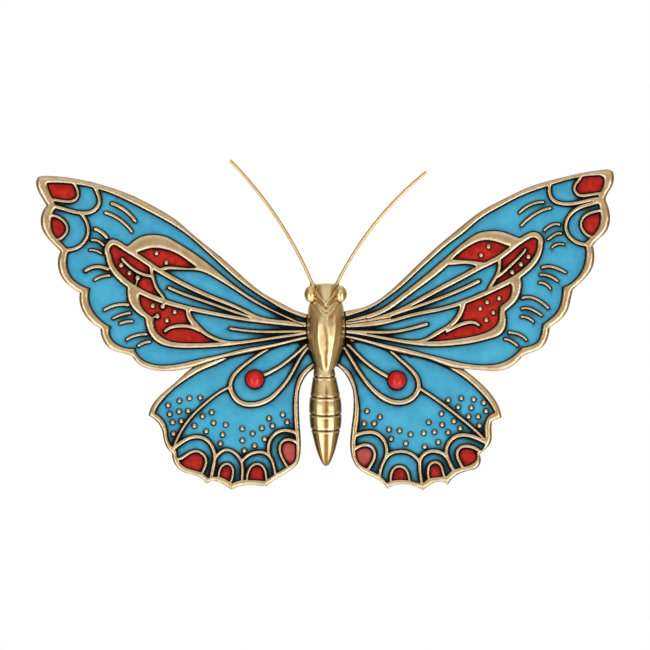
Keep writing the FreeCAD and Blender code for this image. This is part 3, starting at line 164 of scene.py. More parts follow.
def eased(at, places, values):
    # a curve through the values that makes no waves of its own
    places, values = np.asarray(places, float), np.asarray(values, float)
    runs = np.diff(values) / np.diff(places)
    slopes = np.concatenate([[runs[0]], np.zeros(len(runs) - 1), [runs[-1]]])
    same = runs[:-1] * runs[1:] > 0
    slopes[1:-1][same] = 2 * runs[:-1][same] * runs[1:][same] / (runs[:-1][same] + runs[1:][same])
    index = np.clip(np.searchsorted(places, at, side="right") - 1, 0, len(places) - 2)
    span = places[index + 1] - places[index]
    t = np.clip((at - places[index]) / span, 0, 1)
    return hermite(t, span, values[index], values[index + 1], slopes[index], slopes[index + 1])


def fade(value):
    # 0 to 1 with soft ends
    value = np.clip(value, 0, 1)
    return value * value * (3 - 2 * value)


def hump(away, halfWidth, power=2):
    return np.exp(-(away / halfWidth) ** power)


# Outlines of the raised metal and of the enamel, read from the CAD nodes

wing = {
    "tilt": 5.0,            # degrees that a wing tips forward
    "hingeDepth": -12.55,   # mm, where the two wing planes meet on the axis
    "flatness": 0.012,      # mm within which a point lies on the frontmost plane
    "weld": 1e-4,           # mm within which two points are one
    "cornerTurn": 42.0,     # degrees; a sharper turn in an outline stays a corner
    "step": 0.42,           # mm between an outline's points
    "sampleStep": 0.05,     # and between those that distances are measured to
    "roundness": 1.08,      # length squared over a circle's, up to which a loop is round
    "granuleArea": (4.2, 6.0), "beadArea": 20, "dashArea": 45,      # mm2
    "rings": (0.13, 0.3, 0.52, 0.8),          # mm inside the metal's edges
    "poolRings": (0.2, 0.45, 0.8, 1.3, 2.0),  # mm inside the enamel's edges
    "ringShare": 0.93,      # of its inset that a ring's point keeps from every edge
    "creaseGap": 0.12, "thinning": 0.16,      # mm from an edge, and between points
    "metalGrid": 0.75, "poolGrid": 1.7, "rowShare": 0.866, "gridGap": 0.3,
    "mapCell": 0.5,         # mm between the places of a map
}


def tip(points, side, back=False):
    angle = math.radians(wing["tilt"]) * side * (1 if back else -1)
    moved = np.array(points, float)
    depth = moved[:, 1] - wing["hingeDepth"]
    moved[:, 0] = points[:, 0] * math.cos(angle) - depth * math.sin(angle)
    moved[:, 1] = points[:, 0] * math.sin(angle) + depth * math.cos(angle) + wing["hingeDepth"]
    return moved


def onWing(flat, depth, side):
    # (x, z) places of a wing's own plane, at a depth in it, in the object's frame
    return tip(np.c_[flat[:, 0], np.broadcast_to(depth, len(flat)), flat[:, 1]], side)


def turnOf(points, faces):
    a, b, c = (points[faces[:, k]] for k in range(3))
    return (b[:, 0] - a[:, 0]) * (c[:, 1] - a[:, 1]) - (b[:, 1] - a[:, 1]) * (c[:, 0] - a[:, 0])


def allOneWay(points, faces):
    return np.where((turnOf(points, faces) < 0)[:, None], faces[:, ::-1], faces)


def frontLoops(local, triangles):
    # closed outlines of the faces that lie on the frontmost plane, metal on their left
    front = local[:, 1].min()
    flat = np.abs(local[:, 1] - front) < wing["flatness"]
    chosen = allOneWay(local[:, [0, 2]], triangles[flat[triangles].all(axis=1)])
    edges = {(int(t[k]), int(t[(k + 1) % 3])) for t in chosen for k in range(3)}
    following = {}
    for start, end in sorted(edges):
        if (end, start) not in edges:
            following.setdefault(start, []).append(end)
    loops = []
    while following:
        first = min(following)
        loop, here = [], first
        while here in following:
            loop.append(here)
            ends = following[here]
            after = ends.pop()
            if not ends:
                del following[here]
            here = after
            if here == first:
                break
        if len(loop) > 2:
            loops.append(local[loop][:, [0, 2]])
    return loops, front


def easedLoop(loop, step):
    before = loop - np.roll(loop, 1, axis=0)
    loop = loop[np.linalg.norm(before, axis=1) > wing["weld"]]
    before, after = loop - np.roll(loop, 1, axis=0), np.roll(loop, -1, axis=0) - loop
    lengths = np.linalg.norm(before, axis=1) * np.linalg.norm(after, axis=1)
    turns = np.degrees(np.arccos(np.clip((before * after).sum(1) / lengths, -1, 1)))
    corners = np.where(turns > wing["cornerTurn"])[0]
    if len(corners) == 0:
        # round: eased four times as fine over a lap and a bit, then cut to one lap
        smooth = easedRun(np.vstack([loop[-3:], loop, loop[:3]]), step / 4)
        toStart, half = np.linalg.norm(smooth - loop[0], axis=1), len(smooth) // 2
        return smooth[np.argmin(toStart[:half]):half + np.argmin(toStart[half:]):4]
    runs = []
    for k, corner in enumerate(corners):
        end = corners[(k + 1) % len(corners)]
        end = end if end > corner else end + len(loop)
        runs.append(easedRun(loop[np.arange(corner, end + 1) % len(loop)], step)[:-1])
    return np.vstack(runs)


def loopSize(loop):
    # a loop's area in mm2, below zero if it runs clockwise, and whether it is round
    after = np.roll(loop, -1, axis=0)
    length = np.linalg.norm(after - loop, axis=1).sum()
    area = 0.5 * float(np.sum(loop[:, 0] * after[:, 1] - loop[:, 1] * after[:, 0]))
    return area, length**2 / abs(area) < 4 * math.pi * wing["roundness"]


def isGranule(loop):
    area, rounded = loopSize(loop)
    return wing["granuleArea"][0] < area < wing["granuleArea"][1] and rounded


def treeOf(loops):
    samples = np.vstack([easedLoop(loop, wing["sampleStep"]) for loop in loops])
    tree = KDTree(len(samples))
    for index, (x, z) in enumerate(samples):
        tree.insert((x, z, 0), index)
    tree.balance()
    return tree, samples


def nearest(points, tree, part):
    # the nearest sample's place (0), its number (1) or the distance to it (2)
    return np.array([tree.find((x, z, 0))[part] for x, z in points])


def lineWeights(loops):
    # how strong the wash is beside each sample of an outline
    weights = []
    for loop in loops:
        area, rounded = loopSize(loop)
        kind = ("granuleLine" if abs(area) < wing["beadArea"] else "beadLine") if rounded else \
            "dashLine" if abs(area) < wing["dashArea"] else "plainLine"
        weights.append(np.full(len(easedLoop(loop, wing["sampleStep"])), enamelFinish[kind]))
    return np.concatenate(weights)


def rising(points, tree):
    # 1 where the nearest edge is straight above, 0 where it is straight below
    gap = nearest(points, tree, 0)[:, :2] - points
    return 0.5 + 0.5 * gap[:, 1] / (np.linalg.norm(gap, axis=1) + 1e-6)


def insideLoops(points, loops, strip=0.5):
    # even-odd rule, worked one thin strip of heights at a time
    starts = np.vstack(loops)
    ends = np.vstack([np.roll(loop, -1, axis=0) for loop in loops])
    low, high = np.minimum(starts[:, 1], ends[:, 1]), np.maximum(starts[:, 1], ends[:, 1])
    strips = np.floor(points[:, 1] / strip).astype(int)
    inside = np.zeros(len(points), bool)
    order = np.argsort(strips, kind="stable")
    for chosen in np.split(order, np.where(np.diff(strips[order]))[0] + 1):
        level = strips[chosen[0]] * strip
        near = (high >= level) & (low <= level + strip)
        p, a, b = points[chosen], starts[near], ends[near]
        spans = (a[None, :, 1] > p[:, None, 1]) != (b[None, :, 1] > p[:, None, 1])
        rise = np.where(np.abs(b[:, 1] - a[:, 1]) < 1e-9, 1e-9, b[:, 1] - a[:, 1])
        crossing = a[:, 0] + (p[:, None, 1] - a[:, 1]) * (b[:, 0] - a[:, 0]) / rise
        inside[chosen] = (spans & (p[:, None, 0] < crossing)).sum(axis=1) % 2 == 1
    return inside


def thinned(points, spacing):
    keys = np.floor(points / spacing).astype(np.int64)
    return points[np.sort(np.unique(keys, axis=0, return_index=True)[1])]


def sheetInside(loops, rings, gridStep, tree, extra=None):
    # flat triangles between the outlines, finer beside them and at the extra points
    outlines = [easedLoop(loop, wing["step"]) for loop in loops]
    inner = []
    for loop in outlines:
        tangent = np.roll(loop, -1, axis=0) - np.roll(loop, 1, axis=0)
        tangent /= np.linalg.norm(tangent, axis=1)[:, None] + 1e-12
        normal = np.c_[-tangent[:, 1], tangent[:, 0]]
        for number, inset in enumerate(rings):
            ring = (loop + normal * inset)[:: 1 if number < 2 else 2]
            inner.append(ring[nearest(ring, tree, 2) > wing["ringShare"] * inset])
    if extra is not None:
        inner.append(extra[nearest(extra, tree, 2) > wing["creaseGap"]])
    inner = [thinned(np.vstack(inner), wing["thinning"])]
    low, high = np.vstack(outlines).min(0), np.vstack(outlines).max(0)
    xs = np.arange(low[0], high[0], gridStep)
    zs = np.arange(low[1], high[1], gridStep * wing["rowShare"])
    gridX, gridZ = np.meshgrid(xs, zs)
    gridX = gridX + (np.arange(len(zs)) % 2)[:, None] * gridStep / 2
    grid = np.c_[gridX.ravel(), gridZ.ravel()]
    grid = grid[insideLoops(grid, outlines)]
    inner.append(grid[nearest(grid, tree, 2) > rings[-1] + wing["gridGap"] * gridStep])
    inner = np.vstack(inner)
    inner = inner[insideLoops(inner, outlines)]
    edges, start = [], 0
    for loop in outlines:
        count = len(loop)
        edges += [(start + k, start + (k + 1) % count) for k in range(count)]
        start += count
    everyPoint = [Vector(p) for p in np.vstack(outlines + [inner])]
    found = delaunay_2d_cdt(everyPoint, edges, [], 0, 1e-6, False)
    points = np.array([tuple(p) for p in found[0]])
    faces = np.array([face[:3] for face in found[2]])
    faces = faces[insideLoops(points[faces].mean(axis=1), outlines)]
    return points, allOneWay(points, faces), outlines


def wallsBehind(loops, topDepth, bottomDepth, side):
    # upright walls from each outline back to one depth
    points, faces, start = [], [], 0
    for loop in loops:
        count = len(loop)
        points += [onWing(loop, topDepth, side), onWing(loop, bottomDepth, side)]
        for k in range(count):
            after = (k + 1) % count
            faces.append([start + k, start + count + k, start + count + after, start + after])
        start += 2 * count
    return np.vstack(points), faces


# Relief of a wing

relief = {
    "floorDepth": 1.4,     # mm from the highest metal back to the enamel's floor
    "cellEdge": 0.80,      # mm that a rib's crown drops where it meets the enamel
    "cellRound": 1.10,     # mm over which it does
    "rimEdge": 1.30,       # mm that the outer rim drops at the wing's edge
    "rimRound": 1.90,
    "deepest": 1.35,       # mm, the most that the metal drops
    "rimShare": 1.4,       # how much nearer the outer edge counts for the flanks' wash and painted shade than a cell's
    "calming": 4,          # rounds of evening out the crowns' shading
    "held": 0.2, "sharp": 0.05,             # mm from an edge where that stops, and isn't used
    "unevenness": 0.03, "waves": 3.0, "unevenFrom": 0.6,        # mm, hand finished metal
    "enamelLevel": 0.90,   # mm above the floor
    "creep": 0.16, "creepReach": 0.3,       # mm that the enamel climbs its walls
    "enamelWaves": 6.0, "skirt": 0.3,       # mm between waves, and of wall below the enamel's edge
}


def crown(distance, drop, reach):
    share = np.clip(distance / reach, 0, 1)
    return drop * (1 - np.sqrt(1 - (1 - share) ** 2))


def calmNormals(points, faces, held, rounds):
    # vertex normals evened out with their neighbours, except where held
    a, b, c = (points[faces[:, k]] for k in range(3))
    across = np.cross(b - a, c - a)
    normals = np.zeros_like(points)
    for k in range(3):
        np.add.at(normals, faces[:, k], across)
    normals /= np.linalg.norm(normals, axis=1)[:, None] + 1e-12
    for _ in range(rounds):
        total = 1.5 * normals
        for k in range(3):
            beside = normals[faces[:, (k + 1) % 3]] + normals[faces[:, (k + 2) % 3]]
            np.add.at(total, faces[:, k], beside)
        total /= np.linalg.norm(total, axis=1)[:, None] + 1e-12
        normals = np.where(held[:, None], normals, total)
    return normals


def waviness(points, size):
    height = np.array([noise.noise(Vector((x / size, z / size, 3.1))) for x, z in points])
    return relief["unevenness"] * height


def crowding(samples, low, high, spread):
    # mm of edge for each square mm: the wiped wash stays where ribs and granules are close
    cell = wing["mapCell"]
    bins = [int((high[k] - low[k]) / cell) + 1 for k in range(2)]
    ranges = [[low[k], low[k] + bins[k] * cell] for k in range(2)]
    counts = np.histogram2d(samples[:, 0], samples[:, 1], bins=bins, range=ranges)[0]
    reach = int(4 * spread / cell)
    kernel = np.exp(-0.5 * (np.arange(-reach, reach + 1) * cell / spread) ** 2)
    kernel /= kernel.sum()
    for axis in range(2):
        counts = np.apply_along_axis(np.convolve, axis, counts, kernel, mode="same")
    return counts * wing["sampleStep"] / cell**2


def readMap(field, points, low):
    at = (points - np.array(low)) / wing["mapCell"] - 0.5
    whole = np.floor(at).astype(int)
    part = at - whole
    limits = np.array(field.shape) - 1
    (x0, z0), (x1, z1) = (np.clip(whole + k, 0, limits).T for k in range(2))
    lower = field[x0, z0] * (1 - part[:, 0]) + field[x1, z0] * part[:, 0]
    upper = field[x0, z1] * (1 - part[:, 0]) + field[x1, z1] * part[:, 0]
    return lower * (1 - part[:, 1]) + upper * part[:, 1]


def halfWidths(points, toSide, low, reach=4):
    # how wide the cell is about each point: the furthest that any place near it lies from a rib
    index = np.floor((points - np.array(low)) / wing["mapCell"]).astype(int)
    field = np.zeros(index.max(axis=0) + reach + 2)
    np.maximum.at(field, (index[:, 0], index[:, 1]), toSide)
    for _ in range(reach):
        for axis in range(2):
            beside = np.maximum(np.roll(field, 1, axis), np.roll(field, -1, axis))
            field = np.maximum(field, beside)
    return readMap(field, points, low)


# Materials

def linear(hexColour):
    parts = [int(hexColour[k:k + 2], 16) / 255 for k in (1, 3, 5)]
    return tuple(p / 12.92 if p <= 0.04045 else ((p + 0.055) / 1.055) ** 2.4
                 for p in parts) + (1.0,)


def addNode(tree, kind, settings=None, inputs=None):
    # settings may hold a ramp's stops; inputs hold numbers, colours, sockets to link, or a list
    node = tree.nodes.new(kind)
    for title, value in (settings or {}).items():
        if title == "stops":
            elements = node.color_ramp.elements
            while len(elements) < len(value):
                elements.new(0.5)
            for element, (position, colour) in zip(elements, value):
                element.position, element.color = position, linear(colour)
        else:
            setattr(node, title, value)
    for title, value in (inputs or {}).items():
        for each in value if isinstance(value, list) else [value]:
            if isinstance(each, bpy.types.NodeSocket):
                tree.links.new(each, node.inputs[title])
            else:
                node.inputs[title].default_value = each
    return node.outputs


mixColours = {"data_type": "RGBA"}
multiply = {"data_type": "RGBA", "blend_type": "MULTIPLY"}
lengthwise = (1.0, 1.0, 0.35)       # how a polishing streak is drawn out


def newMaterial(name, patterns, attributes=()):
    # patterns: a noise's size in mm, detail and roughness, then how it is stretched and distorted
    material = bpy.data.materials.new(name)
    material.use_nodes = True
    tree = material.node_tree
    tree.nodes.clear()
    at = {"object": addNode(tree, "ShaderNodeTexCoord")["Object"]} if patterns else {}
    for title, (size, detail, roughness, *more) in patterns.items():
        place3, distortion = at["object"], 0.0
        if more:
            stretch, distortion = more
            place3 = addNode(tree, "ShaderNodeMapping", inputs={
                "Vector": place3, "Scale": stretch})["Vector"]
        at[title] = addNode(tree, "ShaderNodeTexNoise", inputs={
            "Vector": place3, "Scale": 1000 / size, "Detail": detail, "Roughness": roughness,
            "Distortion": distortion})["Fac"]
    for title in attributes:
        at[title] = addNode(tree, "ShaderNodeAttribute", {"attribute_name": title})["Fac"]
    return material, tree, at


def endMaterial(material, tree, at, bumps, finish):
    # bumps: a pattern, its strength and its height in mm, each laid over the one before
    laid = {}
    for title, strength, height in bumps:
        laid = {"Normal": addNode(tree, "ShaderNodeBump", inputs={
            "Height": at[title], "Strength": strength, "Distance": height * mm, **laid})["Normal"]}
    shader = addNode(tree, "ShaderNodeBsdfPrincipled", inputs={**finish, **laid})["BSDF"]
    addNode(tree, "ShaderNodeOutputMaterial", inputs={"Surface": shader})
    return material


giltFinish = {
    # the darkest colour serves the wash and the painted shade; deep is the brown of the flanks,
    # partly painted shade
    "light": "#DDCBAD", "warm": "#CFB58F", "deep": "#86602F", "wash": "#140E08",
    "roughness": (0.24, 0.32),
    "patterns": {"cloud": (5.0, 1.5, 0.5), "grain": (0.9, 4.0, 0.65)},
    "dents": (0.30, 0.6),           # strength, mm
}


def giltCasting():
    # zinc alloy, sand textured, plated and lacquered gold with a brown wash left beside the enamel:
    # satin highlights on the crowns, flanks brown with wash and painted shade, shallow dents
    material, tree, at = newMaterial(
        "giltCastingWithBrownWashAndShade", giltFinish["patterns"], ["edge"])
    shade = addNode(tree, "ShaderNodeValToRGB", {
        "stops": [(0.32, giltFinish["warm"]), (0.62, giltFinish["light"])]},
        {"Fac": at["cloud"]})["Color"]
    # the grain's random tone plus the edge attribute, which darkens the flanks with wash and
    # painted shade
    wearAndShade = addNode(tree, "ShaderNodeMath", {"operation": "MULTIPLY_ADD"},
                   {0: at["grain"], 1: 0.35, 2: at["edge"]})[0]
    flank = addNode(tree, "ShaderNodeValToRGB", {
        "stops": [(0.16, giltFinish["wash"]), (0.24, giltFinish["deep"]), (0.40, "#FFFFFF")]},
        {"Fac": wearAndShade})["Color"]
    colour = addNode(tree, "ShaderNodeMix", multiply, {"Factor": 1.0, 6: shade, 7: flank})[2]
    smooth, rough = giltFinish["roughness"]
    roughness = addNode(tree, "ShaderNodeMapRange", inputs={
        "Value": at["grain"], "From Min": 0.3, "From Max": 0.7, "To Min": smooth,
        "To Max": rough})["Result"]
    return endMaterial(material, tree, at, [("cloud", *giltFinish["dents"])], {
        "Base Color": colour, "Metallic": 1.0, "Roughness": roughness})


skinFinish = {
    "colours": [(0.30, "#A88C60"), (0.48, "#BDA175"), (0.66, "#C7AD82")],
    "roughness": (0.56, 0.42),
    "patterns": {"flow": (26, 7.0, 0.62, (0.35, 1.0, 1.0), 0.8), "sand": (0.7, 3.0, 0.7)},
    "bumps": [("flow", 0.25, 0.8), ("sand", 0.35, 0.1)],
}


def rearSkin():
    # the same casting left as it came from the mould at the back: flow marks, sand grain,
    # a thin gold wash
    material, tree, at = newMaterial("giltCastSkin", skinFinish["patterns"])
    colour = addNode(tree, "ShaderNodeValToRGB", {"stops": skinFinish["colours"]},
                     {"Fac": at["flow"]})["Color"]
    matt, smooth = skinFinish["roughness"]
    spread = addNode(tree, "ShaderNodeMapRange", inputs={
        "Value": at["flow"], "From Min": 0.3, "From Max": 0.7, "To Min": matt,
        "To Max": smooth})["Result"]
    return endMaterial(material, tree, at, skinFinish["bumps"], {
        "Base Color": colour, "Metallic": 1.0, "Roughness": spread})


enamelFinish = {
    "washReach": 0.29,          # mm of near black wash beside an edge
    "washStrength": 0.98, "washPower": 2.4,
    "shadowSag": 0.95,            # painted shadow: how much further the wash reaches under an edge that is above it
    "halo": 0.40, "haloReach": 5.0,     # the thinner wash that fades out beyond it
    "crowdSpread": 1.7,         # mm about a point in which the edges are counted
    "crowdWash": 0.72, "crowdLow": 0.26, "crowdHigh": 0.72,
    # the pairs are for a forewing and a hindwing
    "narrowWash": (0.05, 0.19), "narrowWidth": 2.4,     # in the narrow cells
    "rootWash": (0.9, 0.36), "rootReach": (16.0, 36.0),     # where the ribs meet; mm from the axis
    # thinner lines round small things
    "plainLine": 1.0, "beadLine": 0.25, "granuleLine": 0.54, "dashLine": 0.75,
    "milkyCell": (18.7, -62.3), "milkyReach": 6.5,      # mm, the paler red cell by the abdomen
    "milk": 0.36, "milkColour": "#D98C86",
    "raggedness": 0.22, "ragged": (1.6, 5.0, 0.7), "cloud": (3.0, 0.55),
    "bumps": [("cloud", 0.25, 0.6), ("ragged", 0.08, 0.1)],
}


def coldEnamel(name, depths, clouds, cloudSize, roughness, coat):
    # resin enamel poured into the cells, glossy, with a near black antique wash wiped off it
    # that stays along the ribs and where they stand close, with painted shade and shadow added to
    # it
    material, tree, at = newMaterial(name, {
        "cloud": (cloudSize, *enamelFinish["cloud"]), "ragged": enamelFinish["ragged"]},
        ["wash", "milk"])
    ragged = enamelFinish["raggedness"]
    shifted = addNode(tree, "ShaderNodeMath", {"operation": "MULTIPLY_ADD"},
                      {0: at["ragged"], 1: ragged, 2: at["wash"]})[0]
    washedAndShaded = addNode(tree, "ShaderNodeMath", {"operation": "SUBTRACT"},
                     {0: shifted, 1: ragged / 2})[0]
    depth = addNode(tree, "ShaderNodeValToRGB", {"stops": depths}, {"Fac": washedAndShaded})["Color"]
    tone = addNode(tree, "ShaderNodeValToRGB", {"stops": clouds}, {"Fac": at["cloud"]})["Color"]
    colour = addNode(tree, "ShaderNodeMix", multiply, {"Factor": 1.0, 6: depth, 7: tone})[2]
    colour = addNode(tree, "ShaderNodeMix", mixColours, {
        "Factor": at["milk"], 6: colour, 7: linear(enamelFinish["milkColour"])})[2]
    # the wash and the painted shade are matt
    gloss = addNode(tree, "ShaderNodeMapRange", inputs={
        "Value": at["wash"], "From Min": 0.15, "From Max": 0.7, "To Min": 0.28,
        "To Max": 0.05})["Result"]
    return endMaterial(material, tree, at, enamelFinish["bumps"], {
        "Base Color": colour, "Roughness": roughness, "IOR": 1.5, "Specular IOR Level": gloss,
        "Coat Weight": coat, "Coat Roughness": 0.12})


def polishedGilt(name, colours, roughness, streakSize, dents):
    # cast or drawn, buffed and gold plated: mirror like highlights that break up a little
    # along the buffing
    material, tree, at = newMaterial(name, {
        "streak": (streakSize, 4.0, 0.6, lengthwise, 0.0), "dent": (3.2, 2.0, 0.5)}, ["crevice"])
    colour = addNode(tree, "ShaderNodeValToRGB", {"stops": [(0.3, colours[0]), (0.7, colours[1])]},
                     {"Fac": at["streak"]})["Color"]
    spread = addNode(tree, "ShaderNodeMapRange", inputs={
        "Value": at["streak"], "To Min": roughness - 0.05, "To Max": roughness + 0.08})["Result"]
    # brown wash and painted shade in hollows, and painted shade along outlines and ridges: paint,
    # so it mirrors little
    washedAndShaded = addNode(tree, "ShaderNodeValToRGB", {
        "stops": [(0.08, "#FFFFFF"), (0.45, "#BF9849"), (1.0, "#38270F")]},
        {"Fac": at["crevice"]})["Color"]
    bare = addNode(tree, "ShaderNodeMapRange", inputs={
        "Value": at["crevice"], "From Min": 0.05, "From Max": 0.45, "To Min": 1.0,
        "To Max": 0.25})["Result"]
    colour = addNode(tree, "ShaderNodeMix", multiply, {"Factor": 1.0, 6: colour, 7: washedAndShaded})[2]
    return endMaterial(material, tree, at, [("dent", dents, 0.5)], {
        "Base Color": colour, "Metallic": bare, "Roughness": spread})


def redGlass():
    # pressed glass cabochon, backed red: a clear hot spot, and painted shade that darkens it
    # towards the rim
    material, tree, at = newMaterial("pressedRedGlass", {"swirl": (10 / 9, 2.0, 0.5)}, ["rim"])
    colour = addNode(tree, "ShaderNodeValToRGB", {
        "stops": [(0.0, "#E21E0C"), (0.8, "#D4170E"), (1.0, "#BE1410")]},
        {"Fac": at["rim"]})["Color"]
    return endMaterial(material, tree, at, [("swirl", 0.05, 0.2)], {
        "Base Color": colour, "Roughness": 0.14, "IOR": 1.46,
        "Subsurface Weight": 0.08, "Subsurface Scale": 0.001})


def zincSteel(name, colour, roughness):
    # rolled or turned steel, bright zinc plated: a faint brushed grain and cloudy spangle
    material, tree, at = newMaterial(name, {"brushed": (2 / 7, 3.0, 0.5, (1.0, 1.0, 0.06), 0.0)})
    spangle = addNode(tree, "ShaderNodeTexVoronoi", inputs={
        "Vector": at["object"], "Scale": 420.0})["Color"]
    tone = addNode(tree, "ShaderNodeValToRGB", {"stops": [(0.3, colour), (0.7, "#C9CBCD")]},
                   {"Fac": at["brushed"]})["Color"]
    mixed = addNode(tree, "ShaderNodeMix", {"data_type": "RGBA", "blend_type": "SOFT_LIGHT"},
                    {"Factor": 0.10, 6: tone, 7: spangle})[2]
    spread = addNode(tree, "ShaderNodeMapRange", inputs={
        "Value": at["brushed"], "To Min": roughness - 0.08, "To Max": roughness + 0.1})["Result"]
    return endMaterial(material, tree, at, [("brushed", 0.10, 0.1)], {
        "Base Color": mixed, "Metallic": 1.0, "Roughness": spread})


def mouldedRubber():
    # injection moulded nitrile rubber, matt black with a dusty bloom
    material, tree, at = newMaterial("mouldedBlackRubber", {"bloom": (2.0, 4.0, 0.5)})
    colour = addNode(tree, "ShaderNodeValToRGB", {"stops": [(0.35, "#17171A"), (0.75, "#2B2B2E")]},
                     {"Fac": at["bloom"]})["Color"]
    return endMaterial(material, tree, at, [("bloom", 0.2, 0.2)], {
        "Base Color": colour, "Roughness": 0.62})


gilt = giltCasting()
castSkin = rearSkin()
turquoise = coldEnamel("turquoiseColdEnamel", [
    (0.0, "#4DBADD"), (0.16, "#44A9CC"), (0.38, "#387F95"), (0.62, "#1E4550"), (0.86, "#070D0F")],
    [(0.35, "#DCE9EF"), (0.65, "#FFFFFF")], 9.0, 0.36, 0.05)
red = coldEnamel("redColdEnamel", [
    (0.0, "#DA240C"), (0.24, "#BC190E"), (0.46, "#8A120E"), (0.68, "#4A0C0D"), (0.90, "#120505")],
    [(0.35, "#C2AAAA"), (0.65, "#FFFFFF")], 3.4, 0.32, 0.03)
bodyGilt = polishedGilt("buffedGoldPlate", ("#E0C898", "#F0DFB8"), 0.28, 1.1, 0.03)
eyeGilt = polishedGilt("satinGoldPlate", ("#E2C898", "#F0DCB2"), 0.27, 1.6, 0.02)
wireGilt = polishedGilt("drawnBrassWire", ("#E2C888", "#EED8A0"), 0.36, 4.0, 0.01)
glass = redGlass()
print("materials made")


# Trees of nodes that make meshes

def newTree(name, inputs):
    # inputs: each title's first value, or its kind of socket
    tree = bpy.data.node_groups.new(name, "GeometryNodeTree")
    for title, value in inputs.items():
        kind = {bool: "Bool", int: "Int", float: "Float"}.get(type(value), value)
        socket = tree.interface.new_socket(
            title, in_out="INPUT", socket_type="NodeSocket" + kind)
        if kind is not value:
            socket.default_value = value
    tree.interface.new_socket("Geometry", in_out="OUTPUT", socket_type="NodeSocketGeometry")
    return tree, addNode(tree, "NodeGroupInput")


def endTree(tree, source, shape, placing=None):
    # the shape, on every point of the source where it is placed, as a real mesh with its material
    if placing:
        dots = addNode(tree, "GeometryNodeMeshToPoints", inputs={"Mesh": source["Geometry"]})
        shape = addNode(tree, "GeometryNodeInstanceOnPoints", inputs={
            "Points": dots["Points"], "Instance": shape, **placing})["Instances"]
    real = addNode(tree, "GeometryNodeRealizeInstances", inputs={"Geometry": shape})["Geometry"]
    painted = addNode(tree, "GeometryNodeSetMaterial", inputs={
        "Geometry": real, "Material": source["Material"]})["Geometry"]
    addNode(tree, "NodeGroupOutput", inputs={"Geometry": painted})
    return tree


def bakeTree(piece, tree, values):
    # sets a tree's inputs, takes its result as a plain mesh and removes the modifier
    modifier = piece.modifiers.new("nodes", "NODES")
    modifier.node_group = tree
    for item in tree.interface.items_tree:
        if item.in_out == "INPUT" and item.name in values:
            modifier[item.identifier] = values[item.name]
    bpy.context.view_layer.update()
    evaluated = piece.evaluated_get(bpy.context.evaluated_depsgraph_get())
    result = bpy.data.meshes.new_from_object(evaluated)
    piece.modifiers.remove(modifier)
    piece.data = result


# Granules: one tree for every wing

granule = {
    "radius": 1.28, "lift": 0.12,       # mm, and how far above the enamel its middle lies
    "rise": 0.86, "unevenness": 0.07, "seed": 4,
    "segments": 18, "rings": 11,
    "wash": (-0.05, -0.55, 0.12, 0.8),  # from and to a share of the radius, from dark wash and painted shade at the foot to clean
}


def granuleTree():
    tree, source = newTree("granules", {
        "Geometry": "Geometry", "Radius": granule["radius"] * mm, "Rise": granule["rise"],
        "Unevenness": granule["unevenness"], "Seed": granule["seed"], "Tilt": "Float",
        "Material": "Material"})
    ball = addNode(tree, "GeometryNodeMeshUVSphere", inputs={
        "Segments": granule["segments"], "Rings": granule["rings"], "Radius": source["Radius"]})
    flatten = addNode(tree, "ShaderNodeCombineXYZ", inputs={
        "X": 1.0, "Y": source["Rise"], "Z": 1.0})
    squashed = addNode(tree, "GeometryNodeTransform", inputs={
        "Geometry": ball["Mesh"], "Scale": flatten["Vector"]})
    # wash and painted shade where a granule meets the enamel, clean on top
    forward = addNode(tree, "ShaderNodeSeparateXYZ", inputs={
        "Vector": addNode(tree, "GeometryNodeInputPosition")[0]})["Y"]
    share = addNode(tree, "ShaderNodeMath", {"operation": "DIVIDE"},
                    {0: forward, 1: source["Radius"]})[0]
    low, high, dark, clean = granule["wash"]
    wash = addNode(tree, "ShaderNodeMapRange", inputs={
        "Value": share, "From Min": low, "From Max": high, "To Min": dark, "To Max": clean})
    marked = addNode(tree, "GeometryNodeStoreNamedAttribute", {
        "data_type": "FLOAT", "domain": "POINT"}, {
        "Geometry": squashed["Geometry"], "Name": "edge", "Value": wash["Result"]})
    smooth = addNode(tree, "GeometryNodeSetShadeSmooth", inputs={"Geometry": marked["Geometry"]})
    turn = addNode(tree, "ShaderNodeCombineXYZ", inputs={"Z": source["Tilt"]})
    least = addNode(tree, "ShaderNodeMath", {"operation": "SUBTRACT"},
                    {0: 1.0, 1: source["Unevenness"]})[0]
    size = addNode(tree, "FunctionNodeRandomValue", {"data_type": "FLOAT"},
                   {2: least, 3: 1.0, "Seed": source["Seed"]})[1]
    return endTree(tree, source, smooth["Geometry"], {"Rotation": turn["Vector"], "Scale": size})


granules = granuleTree()


# The four wings

recesses = {
    # mm: the thorax's half widths at its heights
    "thorax": [(-24.0, 0.3), (-21.0, 4.2), (-17.8, 5.9), (-14.5, 7.0), (-11.3, 8.1), (-8.0, 9.0),
               (-1.5, 9.6), (4.0, 9.5), (8.5, 9.1), (12.0, 8.3), (14.0, 6.6)],
    "bodyLine": 0.35, "bodyFade": 0.9,          # mm of painted shade along the thorax
    "forewingLine": 0.30, "forewingFade": 1.1,  # and of painted shadow on a hindwing below the forewing's edge
    # creases between ribs that run together at the root, sunk and darkened with painted shade:
    # side, half width, depth, places
    "creases": [(1, 0.46, 1.0, [(10.7, 2.5), (15.0, 3.1), (20.4, 4.3)]),
                (1, 0.66, 0.86, [(16.0, 2.0), (22.5, 2.85), (27.0, 3.7), (31.9, 4.5)]),
                (1, 0.40, 0.95, [(10.5, 1.25), (16.0, 2.0)]),
                (-1, 0.55, 0.86, [(-17.9, 3.2), (-14.2, 1.9), (-11.4, 0.9)])],
    "creaseFlat": 0.3, "creaseDrop": 0.7, "creaseRound": 0.9,
    "creaseRows": (-0.95, -0.65, -0.42, -0.22, 0.0, 0.22, 0.42, 0.65, 0.95),    # mm
    "outlineStep": 0.3,                         # mm
    "hindRoot": (14.0, 2.0, -9.4, 1.0),     # mm: a hindwing's metal has painted shade nearer and higher
}
forewingEdges = {}


